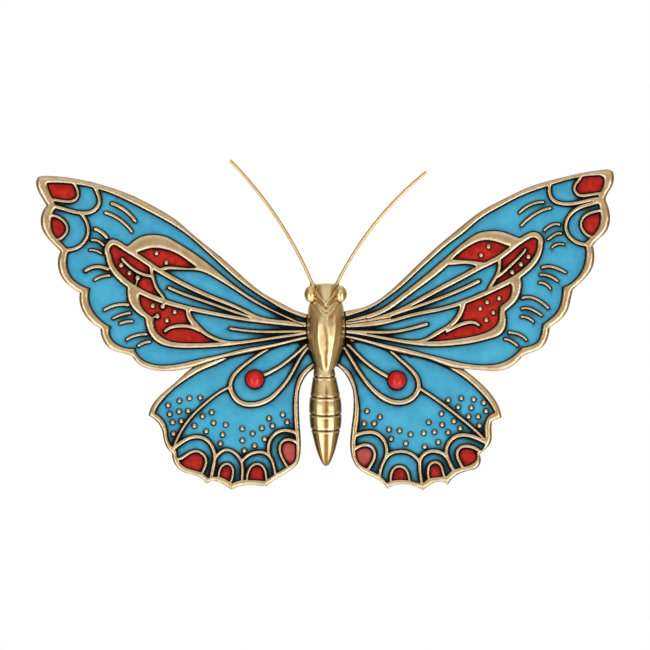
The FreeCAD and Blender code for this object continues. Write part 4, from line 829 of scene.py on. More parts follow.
def paintedShade(points, side, fore):
    # painted shade: 1 in the corner beside the thorax, in the creases, at a hindwing's root and as
    # a shadow under the forewing's edge, 0 away from it
    x, z = points[:, 0], points[:, 2]
    heights, widths = zip(*recesses["thorax"])
    beyond = np.abs(x) - np.interp(z, heights, widths)
    beyond = np.where((z > heights[0]) & (z < heights[-1]), beyond, 9.0)       # out of reach
    dark = 1 - np.clip((beyond - recesses["bodyLine"]) / recesses["bodyFade"], 0, 1)
    if fore:
        for creaseSide, halfWidth, depth, places in recesses["creases"]:
            if creaseSide == side:
                dark = np.maximum(dark, depth * hump(toLine(x, z, places), halfWidth, 4))
        return dark
    across, acrossFade, up, upFade = recesses["hindRoot"]
    root = np.clip((across - np.abs(x)) / acrossFade, 0, 1) * np.clip((z - up) / upFade, 0, 1)
    away = nearest(points[:, [0, 2]], forewingEdges[side], 2) - recesses["forewingLine"]
    under = 1 - np.clip(away / recesses["forewingFade"], 0, 1)
    return np.maximum(np.maximum(dark, root), under)


def creaseFall(points, side):
    # how far the metal sinks towards the creases
    fall = np.zeros(len(points))
    for creaseSide, halfWidth, depth, places in recesses["creases"]:
        if creaseSide == side:
            beside = toLine(points[:, 0], points[:, 2], places)
            beside = np.maximum(beside - recesses["creaseFlat"] * halfWidth, 0)
            sunk = crown(beside, recesses["creaseDrop"] * depth, recesses["creaseRound"])
            fall = np.maximum(fall, sunk)
    return fall


def creasePoints(side, front):
    # rows of points beside each crease, in the wing's own plane
    angle = -math.radians(wing["tilt"]) * side
    runs = [easedRun(np.array(places), recesses["outlineStep"])
            for creaseSide, _, _, places in recesses["creases"] if creaseSide == side]
    rows = np.vstack([run + (0, aside) for run in runs for aside in recesses["creaseRows"]])
    rows[:, 0] = (rows[:, 0] + (front - wing["hingeDepth"]) * math.sin(angle)) / math.cos(angle)
    return rows


def castMetal(name, side, fore, local, triangles, loops, front):
    # crowned metal on top
    outerTree, everyTree = treeOf(loops[:1])[0], treeOf(loops)[0]
    cellTree, cellSamples = treeOf(loops[1:])
    flat, faces, outlines = sheetInside(loops, wing["rings"], wing["metalGrid"], everyTree,
                                        creasePoints(side, front) if fore else None)
    toCell, toOuter = nearest(flat, cellTree, 2), nearest(flat, outerTree, 2)
    away = np.minimum(toCell, toOuter)
    drop = np.hypot(crown(toCell, relief["cellEdge"], relief["cellRound"]),
                    crown(toOuter, relief["rimEdge"], relief["rimRound"]))
    if fore:
        drop = np.hypot(drop, creaseFall(onWing(flat, front, side), side))
        outline = onWing(easedLoop(loops[0], recesses["outlineStep"]), front, side)
        forewingEdges[side] = treeOf([outline[:, [0, 2]]])[0]
    uneven = relief["unevenness"] + waviness(flat, relief["waves"])
    drop = np.clip(drop, 0, relief["deepest"]) + np.clip(away / relief["unevenFrom"], 0, 1) * uneven
    top = onWing(flat, front + drop, side)
    # painted shade beside the thorax, in the creases and at a hindwing's root; painted shadow under
    # the forewing's edge
    dark = paintedShade(top, side, fore)
    # the flanks darken towards the enamel, brown wash and painted shade, and the painted shade
    # takes them to near black
    edge = np.clip(np.minimum(toCell, toOuter * relief["rimShare"]), 0, 1)
    edge = edge * (1 - dark) - 0.1 * dark
    # cell walls down to the floor, then everything behind the floor from the CAD node
    floor = front + relief["floorDepth"]
    walls, wallFaces = wallsBehind(outlines[1:], front + relief["cellEdge"], floor, side)
    kept = triangles[(local[:, 1] > floor + 0.05)[triangles].any(axis=1)]
    lowered = local.copy()
    lowered[np.abs(local[:, 1] - front) < wing["flatness"], 1] = front + relief["rimEdge"]
    used, index = np.unique(kept, return_inverse=True)
    made = joinParts([
        (top, faces, {"edge": edge}),
        (walls, wallFaces, {"edge": np.zeros(len(walls))}),
        (tip(lowered[used], side), index.reshape(-1, 3), {"edge": np.full(len(used), 0.8)})])
    casting = meshObject(name + "_metal", *made, material=gilt)
    casting.data.materials.append(castSkin)
    ahead = len(faces) + len(wallFaces)
    slots = [0] * ahead + [1] * len(kept)
    casting.data.polygons.foreach_set("material_index", slots)
    shadeByAngle(casting, 40)
    calmed = np.zeros((len(casting.data.vertices), 3))
    calmed[:len(top)] = calmNormals(top, faces, away < relief["held"], relief["calming"])
    calmed[:len(top)][away < relief["sharp"]] = 0
    casting.data.normals_split_custom_set_from_vertices(calmed.tolist())
    place(casting, "wing_gilt", name + "_casting")
    print(name, "cast:", len(casting.data.polygons), "faces")
    return cellSamples


def setGranules(name, side, beads, floor):
    level = floor - relief["enamelLevel"] - granule["lift"]
    seeds = meshObject(name + "_granules", onWing(np.array(beads), level, side), [])
    bakeTree(seeds, granules, {"Tilt": -side * math.radians(wing["tilt"]), "Material": gilt})
    place(seeds, "wing_gilt")


def pourEnamel(name, side, fore, colour, material, field, low):
    node = name + "_" + colour + "_enamel"
    points, triangles = cadPoints(node)
    loops, front = frontLoops(tip(points, side, back=True), triangles)
    tree = treeOf(loops)[0]
    pool, faces, outlines = sheetInside(loops, wing["poolRings"], wing["poolGrid"], tree)
    toEdge, kind = nearest(pool, tree, 2), 0 if fore else 1
    climb = relief["creep"] * np.exp(-toEdge / relief["creepReach"])
    top = onWing(pool, front - climb + waviness(pool, relief["enamelWaves"]), side)
    # the wash: where edges crowd, in narrow cells, and along the edges themselves; painted shadow
    # and shade added to it
    finish = enamelFinish
    crowd = np.clip((readMap(field, pool, low) - finish["crowdLow"])
                    / (finish["crowdHigh"] - finish["crowdLow"]), 0, 1)
    near, far = finish["rootReach"]
    toRoot = np.clip((far - np.abs(pool[:, 0])) / (far - near), 0, 1)
    crowd *= 1 + finish["rootWash"][kind] * toRoot
    ribs = treeOf([loop for loop in loops if not isGranule(loop[::-1])])[0]
    widths = halfWidths(pool, nearest(pool, ribs, 2), low)
    narrow = hump(widths, finish["narrowWidth"], 4)
    weight = lineWeights(loops)[nearest(pool, tree, 1)]
    # reaching further below an edge that is above: painted shadow
    reach = finish["washReach"] * weight * (1 + finish["shadowSag"] * rising(pool, tree))
    wash = (finish["washStrength"] * hump(toEdge, reach, finish["washPower"])
            + finish["halo"] * weight * np.exp(-toEdge / (finish["haloReach"] * reach))
            + finish["crowdWash"] * crowd + finish["narrowWash"][kind] * narrow)
    # painted shade beside the thorax and painted shadow under the forewing's edge
    wash = np.clip(wash + paintedShade(top, side, fore), 0, 1)
    milk = np.zeros(len(pool))
    if colour == "red" and not fore:
        across, up = finish["milkyCell"]
        away = np.hypot(np.abs(top[:, 0]) - across, top[:, 2] - up)
        milk = finish["milk"] * hump(away, finish["milkyReach"], 6) * np.clip(1 - 1.6 * wash, 0, 1)
    skirt, skirtFaces = wallsBehind(
        outlines, front - relief["creep"], front + relief["skirt"], side)
    made = joinParts([(top, faces, {"wash": wash, "milk": milk}),
                      (skirt, skirtFaces, {"wash": np.ones(len(skirt))})])
    place(meshObject(name + "_" + colour, *made, material=material), colour + "_enamel", node)


def buildWing(name, side):
    fore = name.startswith("forewing")
    points, triangles = cadPoints(name + "_casting")
    local = tip(points, side, back=True)
    loops, front = frontLoops(local, triangles)
    beads = [loop.mean(axis=0) for loop in loops if isGranule(loop)]
    loops = [loop for loop in loops if not isGranule(loop)]
    loops.sort(key=lambda loop: -abs(loopSize(loop)[0]))
    samples = [castMetal(name, side, fore, local, triangles, loops, front)]
    setGranules(name, side, beads, front + relief["floorDepth"])
    # a map of how closely the edges stand
    low, high = local[:, [0, 2]].min(0) - 4, local[:, [0, 2]].max(0) + 4
    radius = granule["radius"]
    turns = int(2 * math.pi * radius / wing["sampleStep"])
    around = np.linspace(0, 2 * math.pi, turns, endpoint=False)
    samples += [np.c_[x + radius * np.cos(around), z + radius * np.sin(around)] for x, z in beads]
    field = crowding(np.vstack(samples), low, high, enamelFinish["crowdSpread"])
    for colour, material in (("turquoise", turquoise), ("red", red)):
        pourEnamel(name, side, fore, colour, material, field, low)
    print(name, "filled, with", len(beads), "granules")


sides = (("left", -1), ("right", 1))
for pair in ("forewing_", "hindwing_"):
    for title, side in sides:
        buildWing(pair + title, side)


# Eyespot beads

cabochon = {"radius": 4.45, "girdle": 1.5, "dome": 3.6, "rows": 15, "around": 48}   # mm


def buildBead(name, side):
    low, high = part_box(name)
    middle = (low + high) / 2 / mm
    centre, face = tip(np.array([middle, (middle.x, low.y / mm, middle.z)]), side, back=True)
    back = face[1] + cabochon["radius"] + cabochon["girdle"]
    # the girdle's two rings, then the dome's, from the back forward
    radius, girdle, around = (cabochon[title] for title in ("radius", "girdle", "around"))
    profile = [(radius, 0.0), (radius, girdle)]
    for k in range(1, cabochon["rows"]):
        angle = k / cabochon["rows"] * math.pi / 2
        rise = girdle + cabochon["dome"] * math.sin(angle)
        profile.append((radius * math.cos(angle), rise))
    radii, heights = (np.array(column)[:, None] for column in zip(*profile))
    turn = 2 * math.pi * np.arange(around)[None, :] / around
    points = np.stack([centre[0] + radii * np.cos(turn), back - heights + 0 * turn,
                       centre[2] + radii * np.sin(turn)], axis=-1).reshape(-1, 3)
    points = np.vstack([points, (centre[0], back - girdle - cabochon["dome"], centre[2])])
    # the painted shade: 1 at the girdle, falling to 0 at the top
    rim = np.append(np.repeat(radii[:, 0], around) / radius, 0.0)
    faces, grid, after = ringFaces(len(profile), around)
    faces = [[a, d, c, b] for a, b, c, d in faces]
    faces += [[int(grid[-1, k]), int(after[-1, k]), len(points) - 1] for k in range(around)]
    faces.append(grid[0, ::-1].tolist())
    piece = meshObject(name.replace("eyespot", "glass"), tip(points, side), faces,
                       {"rim": rim}, glass)
    shadeByAngle(piece, 50)
    place(piece, "red_bead", name)


for title, side in sides:
    buildBead("eyespot_bead_" + title, side)
print("beads made")


# The body: forms about one upright axis, with the relief worked into their fronts

body = {
    "axisDepth": -12.0, "seat": -7.2,       # mm
    "columns": 128, "rowStep": 0.26,        # round it, and mm
    "endShare": 0.25,                       # how far the rows close up towards the ends
    "creviceDepth": 0.20,                   # mm below its surroundings where a hollow is brown, wash and painted shade
    "blur": 5,                              # columns and rows that count as its surroundings
}


def bodyForm(name, form, shaped, lines):
    # rows: height, half width and half depth from the top down; lean: height and shift; all in mm
    # painted shade at the left and right outline, and the share of the half width where it begins
    heights, widths, depths = (np.array(column) for column in zip(*form["rows"]))
    length = heights[0] - heights[-1]
    even = np.linspace(0, 1, int(length / body["rowStep"]))
    closing = 0.5 - 0.5 * np.cos(math.pi * even)
    z = heights[0] - length * ((1 - body["endShare"]) * even + body["endShare"] * closing)
    width = np.maximum(eased(-z, -heights, widths), 0.02)[:, None]
    depth = np.maximum(eased(-z, -heights, depths), 0.02)[:, None]
    turn = np.linspace(-math.pi, math.pi, body["columns"], endpoint=False)
    ahead, aside = np.cos(turn)[None, :], np.sin(turn)[None, :]
    z = np.broadcast_to(z[:, None], (len(z), body["columns"]))
    proud = shaped(width * aside, z, np.sign(ahead) * np.sqrt(np.abs(ahead)))
    x = (width + proud) * aside + np.interp(z, *zip(*form["lean"]))
    y = body["axisDepth"] - (depth + proud) * ahead
    x = np.where(y > body["axisDepth"], np.clip(x, -form["backHalf"], form["backHalf"]), x)
    y = np.minimum(y, body["seat"])
    blurred = proud.copy()
    for shift in range(1, body["blur"] + 1):
        for ways in ((0, shift), (0, -shift), (shift, 0), (-shift, 0)):
            blurred += np.roll(proud, ways, (0, 1))
    left, right, start = form["outlineShade"]
    outline = np.where(aside < 0, left, right) * fade((np.abs(aside) - start) / (1 - start))
    # brown in the relief's hollows, wash and painted shade; painted shade at the outline and along
    # the form's lines
    hollow = (blurred / (4 * body["blur"] + 1) - proud) / body["creviceDepth"]
    crevice = np.clip(hollow + outline + lines(x, z), 0, 1)
    poles = [(0.0, (y[row].min() + y[row].max()) / 2, z[row, 0]) for row in (0, -1)]
    points, faces = closedRings(np.stack([x, y, z], axis=-1), *poles)
    marks = np.append(crevice.ravel(), [0, 0])
    piece = meshObject(name + "_cast", points, faces, {"crevice": marks}, bodyGilt)
    shadeByAngle(piece, 60)
    place(piece, "body_gilt", name)


head = {
    "rows": [(22.0, 0.0, 0.0), (21.85, 2.4, 1.5), (21.5, 4.4, 2.9), (20.9, 5.5, 3.7),
             (19.8, 6.0, 4.4), (17.5, 6.35, 5.4), (14.5, 6.2, 6.5), (12.4, 5.6, 7.1),
             (10.6, 4.4, 7.2), (9.2, 3.4, 5.8), (7.2, 3.2, 3.2)],
    "lean": [(0, 0)], "backHalf": 4.2, "outlineShade": (0.4, 0.4, 0.8),
    "plate": [(9.0, 0.0), (10.6, 0.05), (11.4, 0.6), (13.0, 1.5), (15.0, 2.4), (17.0, 3.1),
              (19.5, 3.5), (22.0, 3.6)],
    "brow": [(-5.0, 18.6), (-4.1, 16.2), (-2.4, 13.6), (-0.15, 11.2), (1.7, 13.1), (3.6, 15.7),
             (4.6, 18.2)],
    "plateRise": 0.26, "browRise": 0.42, "browWidth": 0.55,
    "cheek": (5.1, 14.2), "cheekSize": (0.9, 1.6), "cheekRise": 0.20,
}
eye = {
    "radii": (3.25, 3.1, 4.25), "left": -7.65, "right": 7.25, "forward": 2.6, "height": 16.4,  # mm
    "cornerShade": 0.5, "cornerReach": 1.34,     # painted shade in the corner round an eye, in eye radii
    "rings": 26, "around": 36,
}


def eyeCorners(x, z):
    up = (z - eye["height"]) / eye["radii"][2]
    left, right = (np.hypot((x - eye[title]) / eye["radii"][0], up) for title, _ in sides)
    return eye["cornerShade"] * fade((eye["cornerReach"] - np.minimum(left, right)) / 0.3)


def headRelief(x, z, ahead):
    inside = eased(z, *zip(*head["plate"])) - np.abs(x + 0.1)
    plate = head["plateRise"] * fade(inside / 1.5 + 0.3)
    brow = head["browRise"] * hump(toLine(x, z, head["brow"]), head["browWidth"])
    (across, up), (halfWidth, halfHeight) = head["cheek"], head["cheekSize"]
    cheek = head["cheekRise"] * hump(np.abs(x) - across, halfWidth) * hump(z - up, halfHeight)
    return (plate + brow + cheek) * np.clip(ahead * 1.6, 0, 1)


def roofed(x, z, rows, ridgeAt, reach, slope, roundness):
    # flattens a round front into two faces that meet in a soft ridge and end at reach
    heights, widths, depths = zip(*rows[::-1])
    width, depth = np.maximum(np.interp(z, heights, widths), 0.1), np.interp(z, heights, depths)
    aside = np.hypot(x - ridgeAt, roundness) - roundness
    fall, fallThere = (depth * (1 - np.sqrt(np.clip(1 - (at / width) ** 2, 0, 1)))
                       for at in (x, reach))
    slope = np.minimum(slope, fallThere / reach)
    return (fall - slope * aside) * fade((reach - np.abs(x)) / 0.7)


thorax = {
    "rows": [(13.9, 0.0, 0.0), (13.7, 4.6, 2.6), (13.1, 6.6, 4.0), (12.0, 8.0, 5.5),
             (10.0, 8.75, 6.9), (7.5, 9.1, 8.0), (4.0, 9.4, 9.3), (0.0, 9.6, 9.6),
             (-3.9, 9.5, 9.5), (-8.0, 9.0, 9.15), (-11.3, 8.1, 8.7), (-14.5, 7.0, 8.0),
             (-17.8, 5.8, 7.2), (-21.0, 4.1, 6.1), (-22.7, 2.5, 5.2), (-23.5, 1.2, 4.4),
             (-23.9, 0.3, 3.6)],
    "lean": [(0, 0)], "backHalf": 3.2, "outlineShade": (0.35, 0.2, 0.85),
    "collar": [(-5.0, 13.0), (-2.4, 9.8), (-0.4, 8.1), (0.9, 8.2), (3.3, 11.0), (5.0, 13.2)],
    "shoulder": [(-5.7, 12.2), (-4.3, 9.9), (-2.3, 7.2), (0.1, 5.6), (2.6, 7.2), (4.1, 9.0),
                 (5.7, 12.0)],
    "collarRise": 0.34, "collarWidth": 0.65, "shoulderRise": 0.30, "shoulderWidth": 1.00,
    # the shield is a roof of two faces that meet in a soft wavy ridge: height and half width of
    # the roof, height and place of the ridge
    "shield": [(-24.0, 0.5), (-21.0, 1.6), (-16.0, 2.6), (-11.0, 3.5), (-5.0, 4.5), (1.0, 4.9),
               (5.0, 4.6), (9.0, 4.2)],
    "ridge": [(-24.0, 0.1), (-20.0, 0.25), (-15.0, 0.0), (-11.0, 0.45), (-6.0, 0.4),
              (-1.5, -0.2), (3.0, -0.65), (7.0, -0.5)],
    "faceSlope": 0.27, "faceTop": 5.2, "ridgeRound": 0.60, "lopsided": 0.09,
    # the brown along the ridge is painted shade
    "groove": 0.08, "grooveWidth": 0.7, "ridgeShade": 0.55, "ridgeShadeWidth": 0.75,
    "waist": -12.6, "waistDepth": 0.10, "waistHeight": 1.6,
    # the brown low on the flanks is painted shade
    "flank": (8.0, -1.5), "flankSize": (1.3, 7.0), "flankRise": 0.22, "flankShade": 0.75,
}


def thoraxRelief(x, z, ahead):
    collar, shoulder = (
        thorax[title + "Rise"] * hump(toLine(x, z, thorax[title]), thorax[title + "Width"])
        for title in ("collar", "shoulder"))
    middle = eased(z, *zip(*thorax["ridge"]))
    reach = eased(z, *zip(*thorax["shield"])) * (1 + thorax["lopsided"] * np.tanh(x))
    # the left face starts lower
    under = fade((thorax["faceTop"] + 2.0 * np.tanh(x) - z + 0.06 * x**2) / 3.5)
    roof = under * roofed(x, z, thorax["rows"], middle, reach, thorax["faceSlope"],
                          thorax["ridgeRound"])
    groove = thorax["groove"] * hump(x - middle, thorax["grooveWidth"]) * fade((4.0 - z) / 3.0)
    # the faces part low down
    waist = thorax["waistDepth"] * hump(z - thorax["waist"] - 0.3 * x, thorax["waistHeight"])
    (across, up), (halfWidth, halfHeight) = thorax["flank"], thorax["flankSize"]
    flank = thorax["flankRise"] * hump(np.abs(x) - across, halfWidth) * hump(z - up, halfHeight)
    return (collar + shoulder + roof - groove - waist + flank) * np.clip(ahead * 1.5, 0, 1)


def thoraxLines(x, z):
    # painted shade along the ridge, low down on the flanks beside the wings, and in the corners
    # below the eyes
    off = x - eased(z, *zip(*thorax["ridge"]))
    along = thorax["ridgeShade"] * hump(off, thorax["ridgeShadeWidth"])
    along *= fade((4.0 - z) / 6.0) * fade((z + 21.5) / 2.5)
    heights, widths, _ = zip(*thorax["rows"][::-1])
    share = np.abs(x) / np.maximum(np.interp(z, heights, widths), 0.5)
    flank = thorax["flankShade"] * fade((share - 0.62) / 0.22) * fade((-2.0 - z) / 5.0)
    return along + flank + eyeCorners(x, z)


abdomen = {
    "rows": [(-15.5, 0.0, 0.0), (-15.7, 3.6, 3.2), (-17.0, 4.7, 4.3), (-21.5, 5.2, 4.9),
             (-25.0, 5.65, 5.6), (-26.5, 5.95, 5.9), (-31.0, 6.75, 6.7), (-34.6, 7.4, 7.35),
             (-36.6, 7.75, 7.7), (-40.0, 7.97, 7.95), (-43.8, 7.92, 7.9), (-45.4, 7.92, 7.9),
             (-48.5, 7.65, 7.6), (-51.2, 7.2, 7.15), (-52.6, 6.95, 6.9), (-56.0, 6.15, 6.15),
             (-59.95, 5.15, 5.15), (-62.5, 4.35, 4.3), (-65.0, 3.4, 3.35), (-67.5, 2.25, 2.2),
             (-69.0, 1.25, 1.2), (-69.7, 0.0, 0.0)],
    # the rings sit a little to the left
    "lean": [(-69.7, 0.0), (-50.0, -0.15), (-35.0, -0.4), (-21.0, -0.9), (-15.5, -0.9)],
    # painted shade at the outline, darker on the left
    "backHalf": 8.0, "outlineShade": (1.5, 1.15, 0.52),
    "grooves": (-24.95, -35.3, -44.25, -51.85), "grooveDepth": 0.34, "grooveWidth": 0.42,
    "ringSag": 0.018, "ringDrop": 0.35,         # a ring rises a little at the sides
    "beadRise": 0.24, "beadBelow": 0.85, "beadWidth": 0.40,
    "swellRise": 0.096, "swellAbove": 1.3, "swellWidth": 0.9, "barrel": 0.16,
    "roofShare": 0.6, "roofReach": 0.62, "roofSlope": 0.31, "roofRound": 2.0,
    # the brown down the middle is painted shade
    "middle": 0.2, "middleShade": 0.62, "middleWidth": 0.9,
}


def abdomenRelief(x, z, ahead):
    form = abdomen
    rise = np.zeros_like(z)
    for height in form["grooves"]:
        off = z - (height + form["ringSag"] * x**2 - form["ringDrop"])
        rise -= form["grooveDepth"] * hump(off, form["grooveWidth"])
        rise += form["beadRise"] * hump(off + form["beadBelow"], form["beadWidth"])
        rise += form["swellRise"] * hump(off - form["swellAbove"], form["swellWidth"])
    for upper, lower in zip(form["grooves"][:-1], form["grooves"][1:]):
        share = np.clip((upper - z) / (upper - lower), 0, 1)
        rise += form["barrel"] * np.sin(math.pi * share) ** 0.7
    width = np.interp(z, *zip(*[row[:2] for row in form["rows"][::-1]]))
    roof = roofed(x, z, form["rows"], form["middle"], form["roofReach"] * width + 0.1,
                  form["roofSlope"], form["roofRound"]) * fade((z + 69) / 3)
    return rise + form["roofShare"] * roof * np.clip(ahead * 1.5, 0, 1)


def abdomenLines(x, z):
    # painted shade between the two highlights, wider towards the tip
    width = abdomen["middleWidth"] + 0.02 * np.clip(-45.0 - z, 0, 20)
    return abdomen["middleShade"] * hump(x - abdomen["middle"], width) * fade((-26.0 - z) / 8.0)


bodyForm("head", head, headRelief, eyeCorners)
bodyForm("thorax", thorax, thoraxRelief, thoraxLines)
bodyForm("abdomen", abdomen, abdomenRelief, abdomenLines)


# Eyes, with the bosses that the antennae enter, and the antennae themselves

antenna = {
    "diameter": 1.6, "bossRadius": 1.65, "bossLength": 4.4, "bossShare": 0.62,      # mm
    "bossRings": 18, "bossAround": 28, "wireRows": 90, "wireAround": 20,
    "rootBend": 0.35,       # how far a boss follows the wire's bend
    "left": [(-5.2, -10.5, 17.6), (-23.803, -14.273, 53.499), (-47.952, -17.402, 83.264)],
    "right": [(3.5, -10.5, 17.6), (25.848, -14.269, 53.456), (50.256, -16.796, 77.504)],
}


def ball(centre, radii, rings, around):
    centre, radii = np.array(centre), np.array(radii)
    rise = (math.pi * np.arange(1, rings) / rings)[:, None]
    turn = (2 * math.pi * np.arange(around) / around)[None, :]
    unit = np.stack([np.sin(rise) * np.cos(turn), np.sin(rise) * np.sin(turn),
                     np.cos(rise) + 0 * turn], axis=-1)
    up = np.array([0, 0, radii[2]])
    return closedRings(centre + radii * unit, centre + up, centre - up)


def wireTree():
    tree, source = newTree("bentWire", {
        "Start": "Vector", "Middle": "Vector", "End": "Vector",
        "Radius": antenna["diameter"] / 2 * mm, "Material": "Material"})
    arc = addNode(tree, "GeometryNodeCurveArc", {"mode": "POINTS"}, {
        "Resolution": antenna["wireRows"], "Start": source["Start"],
        "Middle": source["Middle"], "End": source["End"]})
    ring = addNode(tree, "GeometryNodeCurvePrimitiveCircle", inputs={
        "Resolution": antenna["wireAround"], "Radius": source["Radius"]})
    tube = addNode(tree, "GeometryNodeCurveToMesh", inputs={
        "Curve": arc["Curve"], "Profile Curve": ring["Curve"], "Fill Caps": True})
    return endTree(tree, source, tube["Mesh"])


bentWire = wireTree()
for title, side in sides:
    centre = (eye[title], body["axisDepth"] - eye["forward"], eye["height"])
    points, faces = ball(centre, eye["radii"], eye["rings"], eye["around"])
    place(meshObject("eye_ball_" + title, points, faces, material=eyeGilt),
          "body_gilt", "eye_" + title)
    start, middle, end = (Vector(p) for p in antenna[title])
    rise = (middle - start).normalized()
    rise = (rise + antenna["rootBend"] * (rise - (end - middle).normalized())).normalized()
    half = antenna["bossLength"] * antenna["bossShare"]
    foot = start + rise * half
    points, faces = ball((0, 0, 0), (antenna["bossRadius"], antenna["bossRadius"], half),
                         antenna["bossRings"], antenna["bossAround"])
    turned = Vector((0, 0, 1)).rotation_difference(rise).to_matrix()
    points = [(turned @ Vector(p) + foot)[:] for p in points]
    place(meshObject("antenna_boss_" + title, points, faces, material=bodyGilt), "body_gilt")
    wire = meshObject("antenna_wire_" + title, [], [])
    bakeTree(wire, bentWire, {
        "Start": start * mm, "Middle": middle * mm, "End": end * mm, "Material": wireGilt})
    shadeByAngle(wire, 50)
    place(wire, "wire_gilt", "antenna_" + title)
print("body made")


# Screws: one tree for the flat headed and the round headed ones

screw = {
    "headRadius": 1.9, "coreRadius": 0.84, "threadRadius": 1.0, "headHeight": 1.1,      # mm
    "pitch": 0.8, "runOut": 0.3, "tip": 0.2, "seed": 11,
    "slotWidth": 0.52, "slotLength": 2.2, "slotDepth": 0.62,
    "headAround": 40, "headRings": 21, "coreAround": 28, "turnPoints": 24,
    "plateBack": -5.6, "strapBack": -4.4,
    # name: round head, length under the head's top or seat, places across and up
    "wing_screws": (False, 3.5, [(x, z) for z in (2.91, -1.52, -7.76, -12.35)
                                 for x in (-6.1, 6.1)]),
    "body_screws": (False, 6.1, [(0.0, 0.0), (0.0, -35.0)]),
    "hanger_screws": (True, 7.3, [(0.0, 16.5), (0.0, -9.9)]),
}


def screwTree():
    # drawn in mm with its axis upright and the seat at zero, then turned and scaled to its place
    tree, source = newTree("screw", {
        "Geometry": "Geometry", "Length": 6.0, "Round Head": False,
        "Head Radius": screw["headRadius"], "Head Height": screw["headHeight"],
        "Core Radius": screw["coreRadius"], "Thread Radius": screw["threadRadius"],
        "Pitch": screw["pitch"], "Seed": screw["seed"], "Material": "Material"})
    length, height, isRound = source["Length"], source["Head Height"], source["Round Head"]
    less, over, cut = {"operation": "SUBTRACT"}, {"operation": "DIVIDE"}, {
        "operation": "DIFFERENCE", "solver": "EXACT"}
    # flat head: a cone whose top is level with the seat
    cone = addNode(tree, "GeometryNodeMeshCone", inputs={
        "Vertices": screw["headAround"], "Radius Top": source["Head Radius"],
        "Radius Bottom": source["Thread Radius"], "Depth": height})["Mesh"]
    down = addNode(tree, "ShaderNodeVectorMath", {"operation": "SCALE"},
                   {0: (0.0, 0.0, -1.0), "Scale": height})[0]
    cone = addNode(tree, "GeometryNodeTransform", inputs={
        "Geometry": cone, "Translation": down})["Geometry"]
    # round head: half a flattened ball on the seat
    dome = addNode(tree, "GeometryNodeMeshUVSphere", inputs={
        "Segments": screw["headAround"], "Rings": screw["headRings"],
        "Radius": source["Head Radius"]})["Mesh"]
    flatness = addNode(tree, "ShaderNodeMath", over, {0: height, 1: source["Head Radius"]})[0]
    squash = addNode(tree, "ShaderNodeCombineXYZ", inputs={"X": 1.0, "Y": 1.0, "Z": flatness})[0]
    dome = addNode(tree, "GeometryNodeTransform", inputs={
        "Geometry": dome, "Scale": squash})["Geometry"]
    below = addNode(tree, "GeometryNodeMeshCube", inputs={"Size": (6.0, 6.0, 3.0)})["Mesh"]
    below = addNode(tree, "GeometryNodeTransform", inputs={
        "Geometry": below, "Translation": (0.0, 0.0, -1.5)})["Geometry"]
    dome = addNode(tree, "GeometryNodeMeshBoolean", cut, {"Mesh 1": dome, "Mesh 2": below})["Mesh"]
    head = addNode(tree, "GeometryNodeSwitch", {"input_type": "GEOMETRY"}, {
        "Switch": isRound, "False": cone, "True": dome})[0]
    # cross recess
    top = addNode(tree, "GeometryNodeSwitch", {"input_type": "FLOAT"}, {
        "Switch": isRound, "False": 0.0, "True": height})[0]
    at = addNode(tree, "ShaderNodeCombineXYZ", inputs={"Z": top})[0]
    wide, narrow, deep = screw["slotLength"], screw["slotWidth"], 2 * screw["slotDepth"]
    for size in ((wide, narrow, deep), (narrow, wide, deep)):
        slot = addNode(tree, "GeometryNodeMeshCube", inputs={"Size": size})["Mesh"]
        slot = addNode(tree, "GeometryNodeTransform", inputs={
            "Geometry": slot, "Translation": at})["Geometry"]
        head = addNode(tree, "GeometryNodeMeshBoolean", cut, {
            "Mesh 1": head, "Mesh 2": slot})["Mesh"]
    # core
    core = addNode(tree, "GeometryNodeMeshCylinder", inputs={
        "Vertices": screw["coreAround"], "Radius": source["Core Radius"], "Depth": length})["Mesh"]
    halfDown = addNode(tree, "ShaderNodeVectorMath", {"operation": "SCALE"},
                       {0: (0.0, 0.0, -0.5), "Scale": length})[0]
    core = addNode(tree, "GeometryNodeTransform", inputs={
        "Geometry": core, "Translation": halfDown})["Geometry"]
    # a thread wound round it
    threaded = addNode(tree, "ShaderNodeMath", less, {0: length, 1: height})[0]
    threaded = addNode(tree, "ShaderNodeMath", less, {0: threaded, 1: screw["runOut"]})[0]
    turns = addNode(tree, "ShaderNodeMath", over, {0: threaded, 1: source["Pitch"]})[0]
    helix = addNode(tree, "GeometryNodeCurveSpiral", inputs={
        "Resolution": screw["turnPoints"], "Rotations": turns, "Height": threaded,
        "Start Radius": source["Core Radius"], "End Radius": source["Core Radius"]})["Curve"]
    proud = addNode(tree, "ShaderNodeMath", less, {
        0: source["Thread Radius"], 1: source["Core Radius"]})[0]
    ridge = addNode(tree, "GeometryNodeCurvePrimitiveCircle", inputs={
        "Resolution": 4, "Radius": proud})["Curve"]
    thread = addNode(tree, "GeometryNodeCurveToMesh", inputs={
        "Curve": helix, "Profile Curve": ridge, "Fill Caps": True})["Mesh"]
    end = addNode(tree, "ShaderNodeMath", less, {0: screw["tip"], 1: length})[0]
    end = addNode(tree, "ShaderNodeCombineXYZ", inputs={"Z": end})[0]
    thread = addNode(tree, "GeometryNodeTransform", inputs={
        "Geometry": thread, "Translation": end})["Geometry"]
    joined = addNode(tree, "GeometryNodeJoinGeometry", inputs={"Geometry": [head, core, thread]})
    sized = addNode(tree, "GeometryNodeTransform", inputs={
        "Geometry": joined["Geometry"], "Scale": (mm, mm, mm)})["Geometry"]
